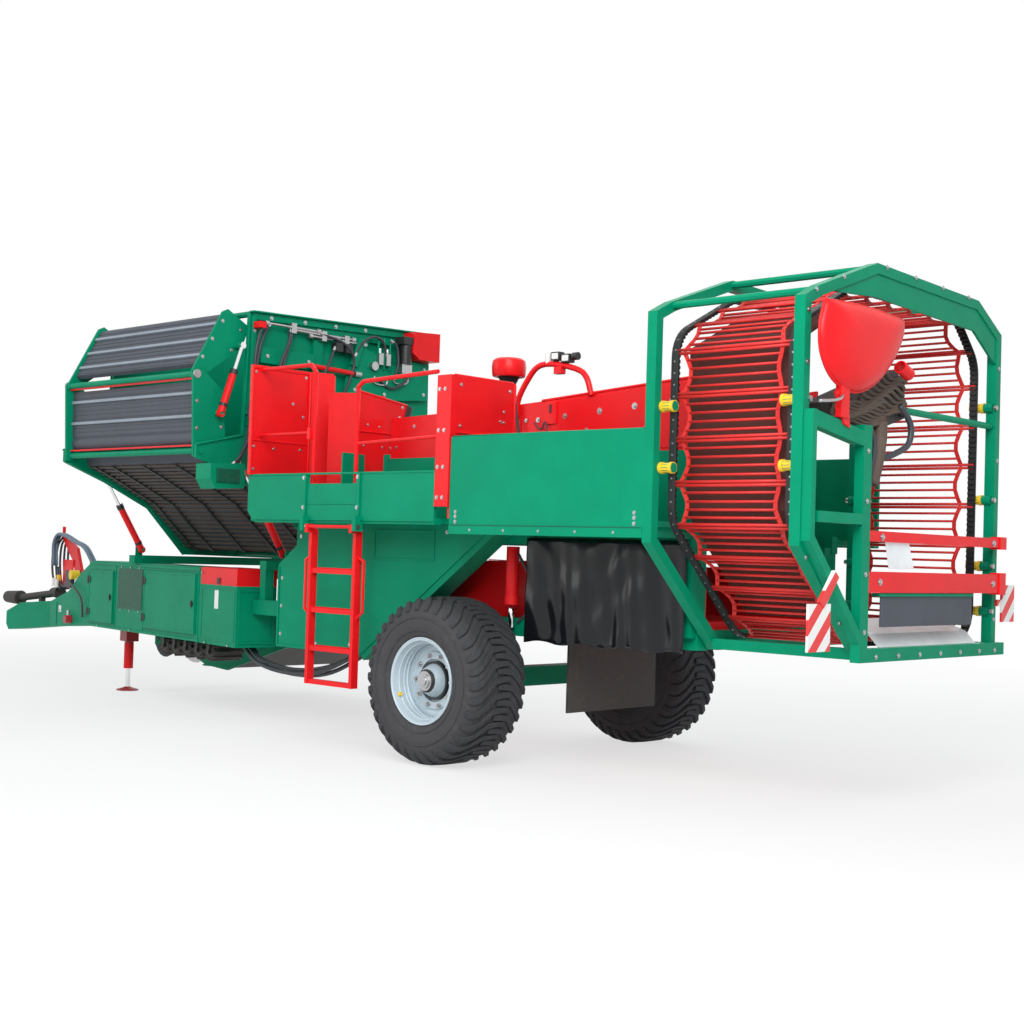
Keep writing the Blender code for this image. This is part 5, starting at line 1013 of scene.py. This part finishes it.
# ---------------------------------------------------------------- drawbar housing
def housing():
    """Louvre, seams, lower flange, blank plate, knob, hinges and the jack's collar."""
    green, dark, steel, plate, red = Kit(), Kit(), Kit(), Kit(), Kit()
    face = 0.2102
    green.box(-2.90, 0.0, face - 0.006, face + 0.012, 0.712, 0.738, LOCAL)
    green.box(-2.90, -0.02, face - 0.006, face + 0.010, 1.415, 1.440, LOCAL)
    for x in (-0.775, -1.535, -2.868):
        green.box(x - 0.008, x + 0.008, face, face + 0.006, 0.745, 1.41, LOCAL)
    green.box(-3.66, -2.94, 0.2125, 0.2165, 0.745, 0.765, LOCAL)
    green.box(-3.66, -2.94, 0.2125, 0.2165, 1.245, 1.265, LOCAL)
    for x in (-3.66, -2.955):
        green.box(x, x + 0.018, 0.2125, 0.2165, 0.765, 1.245, LOCAL)
    green.box(-3.7015, -3.692, -0.19, 0.19, 0.74, 0.76, LOCAL)
    green.box(-3.7015, -3.692, -0.19, 0.19, 1.24, 1.26, LOCAL)
    for y in (-0.19, 0.172):
        green.box(-3.7015, -3.692, y, y + 0.018, 0.76, 1.24, LOCAL)
    green.box(0.98, 1.00, 0.2102, 0.218, 0.66, 0.94, LOCAL)
    green.done("housing_edges", "green_paint", "chassis", bevel=0.003)
    dark.box(-1.51, -0.85, face, face + 0.005, 0.95, 1.39, LOCAL)
    for k in range(26):
        z = 0.965 + 0.0165 * k
        dark.box(-1.50, -0.86, face + 0.004, face + 0.011, z, z + 0.008, LOCAL)
    dark.done("housing_louvre", "dark_green", "chassis", bevel=0.001)
    for x in (-1.42, -1.18, -0.94):
        for z in (1.402, 0.935):
            c = L(x, face, z)
            steel.disc(LOCAL.to_3x3() @ Vector((0, 1, 0)), c, 0.011, 0, 0.008, 10)
    for x, z in ((0.88, 0.84), (-3.55, 0.72), (-3.05, 0.72), (-2.95, 1.40), (-1.2, 0.726), (-0.3, 0.726)):
        c = L(x, face + 0.008, z)
        steel.disc(LOCAL.to_3x3() @ Vector((0, 1, 0)), c, 0.010, 0, 0.008, 10)
    steel.done("housing_fasteners", "bare_steel", "chassis")
    plate.box(-3.31, -3.23, 0.2125, 0.2155, 1.06, 1.24, LOCAL)
    plate.box(0.84, 0.92, 0.2102, 0.2125, 0.82, 0.90, LOCAL)
    plate.done("housing_blank_plates", "white", "chassis", bevel=0.001)
    x, y = -0.40, -0.13
    place = L(x, y, 0)
    red.disc((0, 0, 1), (place.x, place.y, 0), 0.0505, 0.249, 0.56, 24)
    red.box(x - 0.094, x + 0.094, y - 0.074, y + 0.074, 0.555, 0.7095, LOCAL)
    red.done("jack_collar", "dark_red", "chassis", bevel=0.004)
    tube = Kit()
    tube.disc((0, 0, 1), (place.x, place.y, 0), 0.053, 0.25, 0.53, 24)
    tube.done("jack_tube", "red_paint", "chassis", bevel=0.003)
    foot = Kit()
    foot.disc((0, 0, 1), (place.x, place.y, 0), 0.0275, 0.03, 0.322, 20)
    foot.done("jack_rod", "chrome", "jack", replaces=("jack_foot",))
    foot = Kit()
    foot.tube([(place.x, place.y, 0.0), (place.x, place.y, 0.010), (place.x, place.y, 0.014), (place.x, place.y, 0.034), (place.x, place.y, 0.042)],
              0.1, 28, radii=[0.122, 0.125, 0.118, 0.042, 0.036])
    foot.done("jack_plate", "dark_red", "jack")
    knob = Kit()
    knob.disc(LOCAL.to_3x3() @ Vector((0, 1, 0)), L(0.51, face, 0.755), 0.048, 0, 0.08, 24)
    knob.done("housing_knob", "dark_red", "chassis", bevel=0.005)
    pin = Kit()
    pin.disc((0, 0, 1), L(0.51, face + 0.04, 0.80), 0.018, -0.01, 0.06, 14)
    pin.done("housing_knob_pin", "bare_steel", "chassis")
    for name, x0, x1, z0, z1 in (("front", -0.74, -0.04, 0.77, 1.35), ("rear", -2.82, -1.57, 0.78, 1.385)):
        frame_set, black = Kit(), Kit()
        y0, y1 = 0.2302, 0.2345
        w = 0.022
        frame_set.box(x0, x1, y0 - 0.004, y1, z0, z0 + w, LOCAL)
        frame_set.box(x0, x1, y0 - 0.004, y1, z1 - w, z1, LOCAL)
        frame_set.box(x0, x0 + w, y0 - 0.004, y1, z0 + w, z1 - w, LOCAL)
        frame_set.box(x1 - w, x1, y0 - 0.004, y1, z0 + w, z1 - w, LOCAL)
        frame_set.done(f"cupboard_{name}_frame", "green_paint", f"door_{name}", bevel=0.002)
        for z in (z0 + 0.11, z1 - 0.11):
            c = L(x1, 0.2345, z)
            black.disc((0, 0, 1), c, 0.013, -0.045, 0.045, 14)
            black.box(x1 - 0.055, x1 - 0.004, 0.2302, 0.2385, z - 0.032, z + 0.032, LOCAL)
        c = L(x0 + 0.055, 0.2302, (z0 + z1) / 2)
        black.disc(LOCAL.to_3x3() @ Vector((0, 1, 0)), c, 0.020, 0, 0.010, 18)
        black.box(x0 + 0.046, x0 + 0.064, 0.238, 0.250, (z0 + z1) / 2 - 0.035, (z0 + z1) / 2 + 0.035, LOCAL)
        black.done(f"cupboard_{name}_hinges", "black", f"door_{name}", bevel=0.002)
    latch = Kit()
    latch.box(-3.34, -3.28, 0.2125, 0.222, 1.30, 1.36, LOCAL)
    latch.done("lid_latch", "black", "lid", bevel=0.002)
    lid = Kit()
    lid.box(-3.685, -2.92, 0.2125, 0.2165, 1.296, 1.308, LOCAL)
    lid.box(-3.68, -2.93, -0.20, 0.20, 1.4552, 1.459, LOCAL)
    lid.done("lid_edges", "red_paint", "lid", bevel=0.002)


housing()


def rack_and_hoses():
    """Parked hydraulic hoses over the leaning rack, with their couplings."""
    blue, black, caps, whites, red, green = Kit(), Kit(), Kit(), Kit(), Kit(), Kit()
    for shift in (0.045, 0.085):
        blue.tube(smoothed([L(0.10, shift, 1.30), L(0.22, shift + 0.03, 1.46), L(0.45, shift + 0.03, 1.60), L(0.80, shift + 0.01, 1.66),
                            L(1.15, shift, 1.73), L(1.38, shift, 1.74), L(1.46, shift + 0.02, 1.62), L(1.44, shift + 0.02, 1.36)], 6), 0.020, 12)
    for i in range(5):
        y = -0.07 + 0.035 * i
        black.tube(smoothed([L(1.36, y, 1.70), L(1.47, y * 1.3, 1.60), L(1.50, y * 1.4, 1.40), L(1.42 + 0.01 * i, y * 1.2, 1.18), L(1.36 - 0.03 * i, y, 1.08)], 6), 0.014, 10)
    black.tube(smoothed([L(1.42, 0.05, 1.34), L(1.30, 0.08, 1.18), L(1.10, 0.09, 1.12), L(0.86, 0.10, 1.16)], 6), 0.018, 10)
    black.tube(smoothed([L(0.60, 0.24, 1.20), L(0.30, 0.26, 1.12), L(0.12, 0.25, 1.00), L(0.10, 0.235, 0.80)], 6), 0.012, 10)
    black.box(0.66, 0.84, 0.06, 0.18, 1.12, 1.32, LOCAL)
    blue.done("rack_sleeves", "blue_hose", "chassis")
    black.done("rack_hoses", "hose", "chassis", bevel=0.0)
    caps.disc(LOCAL.to_3x3() @ Vector((0, 1, 0)), L(0.62, 0.10, 1.27), 0.055, 0, 0.10, 24)
    caps.disc((0, 0, 1), L(1.30, 0.08, 1.20), 0.030, -0.03, 0.05, 18)
    caps.done("rack_yellow_caps", "yellow", "chassis", bevel=0.004)
    for x, z in ((0.60, 1.19), (0.54, 1.18), (1.34, 1.16), (1.24, 1.15)):
        whites.disc((0, 0, 1), L(x, 0.13, z), 0.024, -0.05, 0.05, 16)
    whites.done("rack_couplings", "white", "chassis", bevel=0.003)
    red.box(0.98, 1.30, 0.0205, 0.036, 1.10, 1.44, LOCAL)
    red.disc((0, 0, 1), L(1.40, 0.0, 1.74), 0.020, -0.02, 0.10, 14)
    red.done("rack_plate", "red_paint", "chassis", bevel=0.006)
    green.box(0.50, 0.90, 0.03, 0.05, 1.04, 1.30, LOCAL)
    green.done("rack_bracket", "green_paint", "chassis", bevel=0.003)


rack_and_hoses()


def running_gear():
    """Levelling ram beside the left wheel, the pressed window, hoses below and the flap's bar."""
    red, steel, hose, green = Kit(), Kit(), Kit(), Kit()
    for y in (0.95,):
        red.tube([(-0.40, y, 1.30), (-0.40, y, 1.74)], 0.052, 20)
        red.disc((0, 0, 1), (-0.40, y, 1.30), 0.060, -0.02, 0.05, 20)
        steel.tube([(-0.40, y, 1.10), (-0.40, y, 1.30)], 0.026, 14)
    red.done("levelling_ram", "red_paint", "chassis", bevel=0.003)
    steel.done("levelling_ram_rod", "chrome", "chassis")
    green.box(0.24, 0.98, 1.2002, 1.206, 1.595, 1.615)
    green.box(0.24, 0.98, 1.2002, 1.206, 1.835, 1.855)
    for x in (0.24, 0.96):
        green.box(x, x + 0.02, 1.2002, 1.206, 1.615, 1.835)
    green.box(1.13, 2.25, 1.2002, 1.212, 0.785, 0.805)
    green.box(2.235, 2.255, 1.2002, 1.210, 0.80, 1.50)
    green.done("lower_panel_edges", "green_paint", "chassis", bevel=0.004)
    bolts = Kit()
    for x, z in ((2.20, 0.90), (2.20, 1.15), (2.20, 1.40), (1.25, 0.86), (1.70, 0.84), (1.95, 1.78), (1.2, 1.84), (0.1, 1.84), (-0.2, 1.84)):
        bolts.bolt((x, 1.2005, z), (0, 1, 0), 0.011, 0.008)
    bolts.done("lower_panel_bolts", "bare_steel", "chassis", bevel=0.001)
    for shift, drop in ((0.0, 0.0), (0.05, 0.03), (-0.05, 0.05)):
        hose.tube(smoothed([(3.35, 0.72 + shift, 0.74), (3.0, 0.78 + shift, 0.60 - drop), (2.5, 0.80 + shift, 0.54 - drop), (2.0, 0.80 + shift, 0.60 - drop),
                            (1.4, 0.82 + shift, 0.80), (0.9, 0.84 + shift, 0.98)], 6), 0.020, 10)
    hose.tube(smoothed([(-0.46, 0.95, 1.68), (-0.56, 0.93, 1.50), (-0.54, 0.90, 1.25), (-0.44, 0.92, 1.14)], 6), 0.012, 8)
    hose.done("underside_hoses", "hose", "chassis")
    flap = Kit()
    flap.box(-0.872, -0.838, -0.36, 0.77, 1.12, 1.155)
    flap.done("axle_flap_bar", "bare_steel", "chassis", bevel=0.002)


running_gear()


def ladder_details():
    """Tread teeth and the pivot's collars on the folding ladder."""
    red, dark = Kit(), Kit()
    for z in (0.84, 1.16, 1.49):
        for k in range(14):
            x = 0.80 + 0.52 * k / 13
            red.box(x - 0.006, x + 0.006, 1.534, 1.586, z + 0.018, z + 0.028)
    red.done("ladder_teeth", "red_paint", "ladder")
    for x in (0.735, 1.385):
        dark.disc((1, 0, 0), (0, 1.625, 1.86), 0.024, x - 0.032, x - 0.024, 16)
    dark.done("ladder_collars", "bare_steel", "ladder")


ladder_details()


def ram_details():
    """Gland rings and end bands on the lift and tip rams."""
    for name, x, foot, eye, length in (
        ("lift_ram_rear", 2.935, (0.62, 1.60), (1.10, 2.36), 0.55),
        ("lift_ram_front", 5.365, (0.62, 1.60), (1.10, 2.36), 0.55),
        ("tip_ram", 2.95, (1.40, 2.90), (1.18, 3.56), 0.44),
    ):
        start, end = Vector((x, *foot)), Vector((x, *eye))
        run = (end - start).normalized()
        kit = Kit()
        kit.disc(run, start, 0.038, length - 0.045, length + 0.004, 20, inner=0.0215)
        kit.disc(run, start, 0.038, 0.07, 0.10, 20, inner=0.030)
        kit.done(f"{name}_gland", "black", f"{name}_barrel", bevel=0.002)


ram_details()


def haulm_rollers():
    """Dark fluted rollers under the housing, on their bearers."""
    dark, steel = Kit(), Kit()
    for k in range(5):
        x = 4.78 - 0.24 * k
        y0, y1 = 0.33 + 0.03 * k, 0.68 + 0.03 * k
        dark.disc((0, 1, 0), (x, 0, 0.615), 0.075, y0, y1, 24)
        for j in range(8):
            angle = 2 * pi * j / 8
            spot = Vector((x + 0.078 * cos(angle), 0, 0.615 + 0.078 * sin(angle)))
            dark.tube([spot + Vector((0, y0, 0)), spot + Vector((0, y1, 0))], 0.017, 8)
        steel.disc((0, 1, 0), (x, 0, 0.615), 0.020, y0 - 0.03, y1 + 0.03, 12)
        for y in (y0 - 0.022, y1 + 0.012):
            steel.box(x - 0.018, x + 0.018, y, y + 0.010, 0.60, 0.712)
    dark.done("haulm_rollers", "dark_flap", "chassis")
    steel.done("haulm_roller_bearers", "black", "chassis", bevel=0.002)


haulm_rollers()


def digger_details():
    """Rods of the digging web, the pan under them and the share points."""
    rods, shares = Kit(), Kit()
    for k in range(44):
        t = k / 43
        rods.tube([(2.62 + 2.02 * t, -1.62, 1.135 - 0.66 * t), (2.62 + 2.02 * t, -0.14, 1.135 - 0.66 * t)], 0.011, 6)
    rods.done("digging_web_rods", "bare_steel", "digger")
    under = Kit()
    under.bar((2.60, -0.86, 1.035), (4.66, -0.86, 0.365), 1.44, 0.010, (0, 1, 0))
    under.box(2.66, 4.62, -0.0985, -0.094, 0.72, 0.90)
    under.done("digging_web_pan", "dark_flap", "digger")
    for k in range(6):
        y = -1.50 + 0.25 * k
        shares.prism("Z", [(5.10, y - 0.10), (5.34, y), (5.10, y + 0.10)], 0.352, 0.366)
    shares.done("share_points", "bare_steel", "digger", bevel=0.003)


digger_details()


# ---------------------------------------------------------------- soft edges of the solids
for name, obj in nodes.items():
    if not name.startswith(("tyre", "hose_bundle", "ring_web", "curtain", "chute")):
        soft = obj.modifiers.new("soft edges", "BEVEL")
        soft.width, soft.segments, soft.limit_method, soft.angle_limit = 0.004, 2, "ANGLE", radians(40)
        soft.harden_normals = False
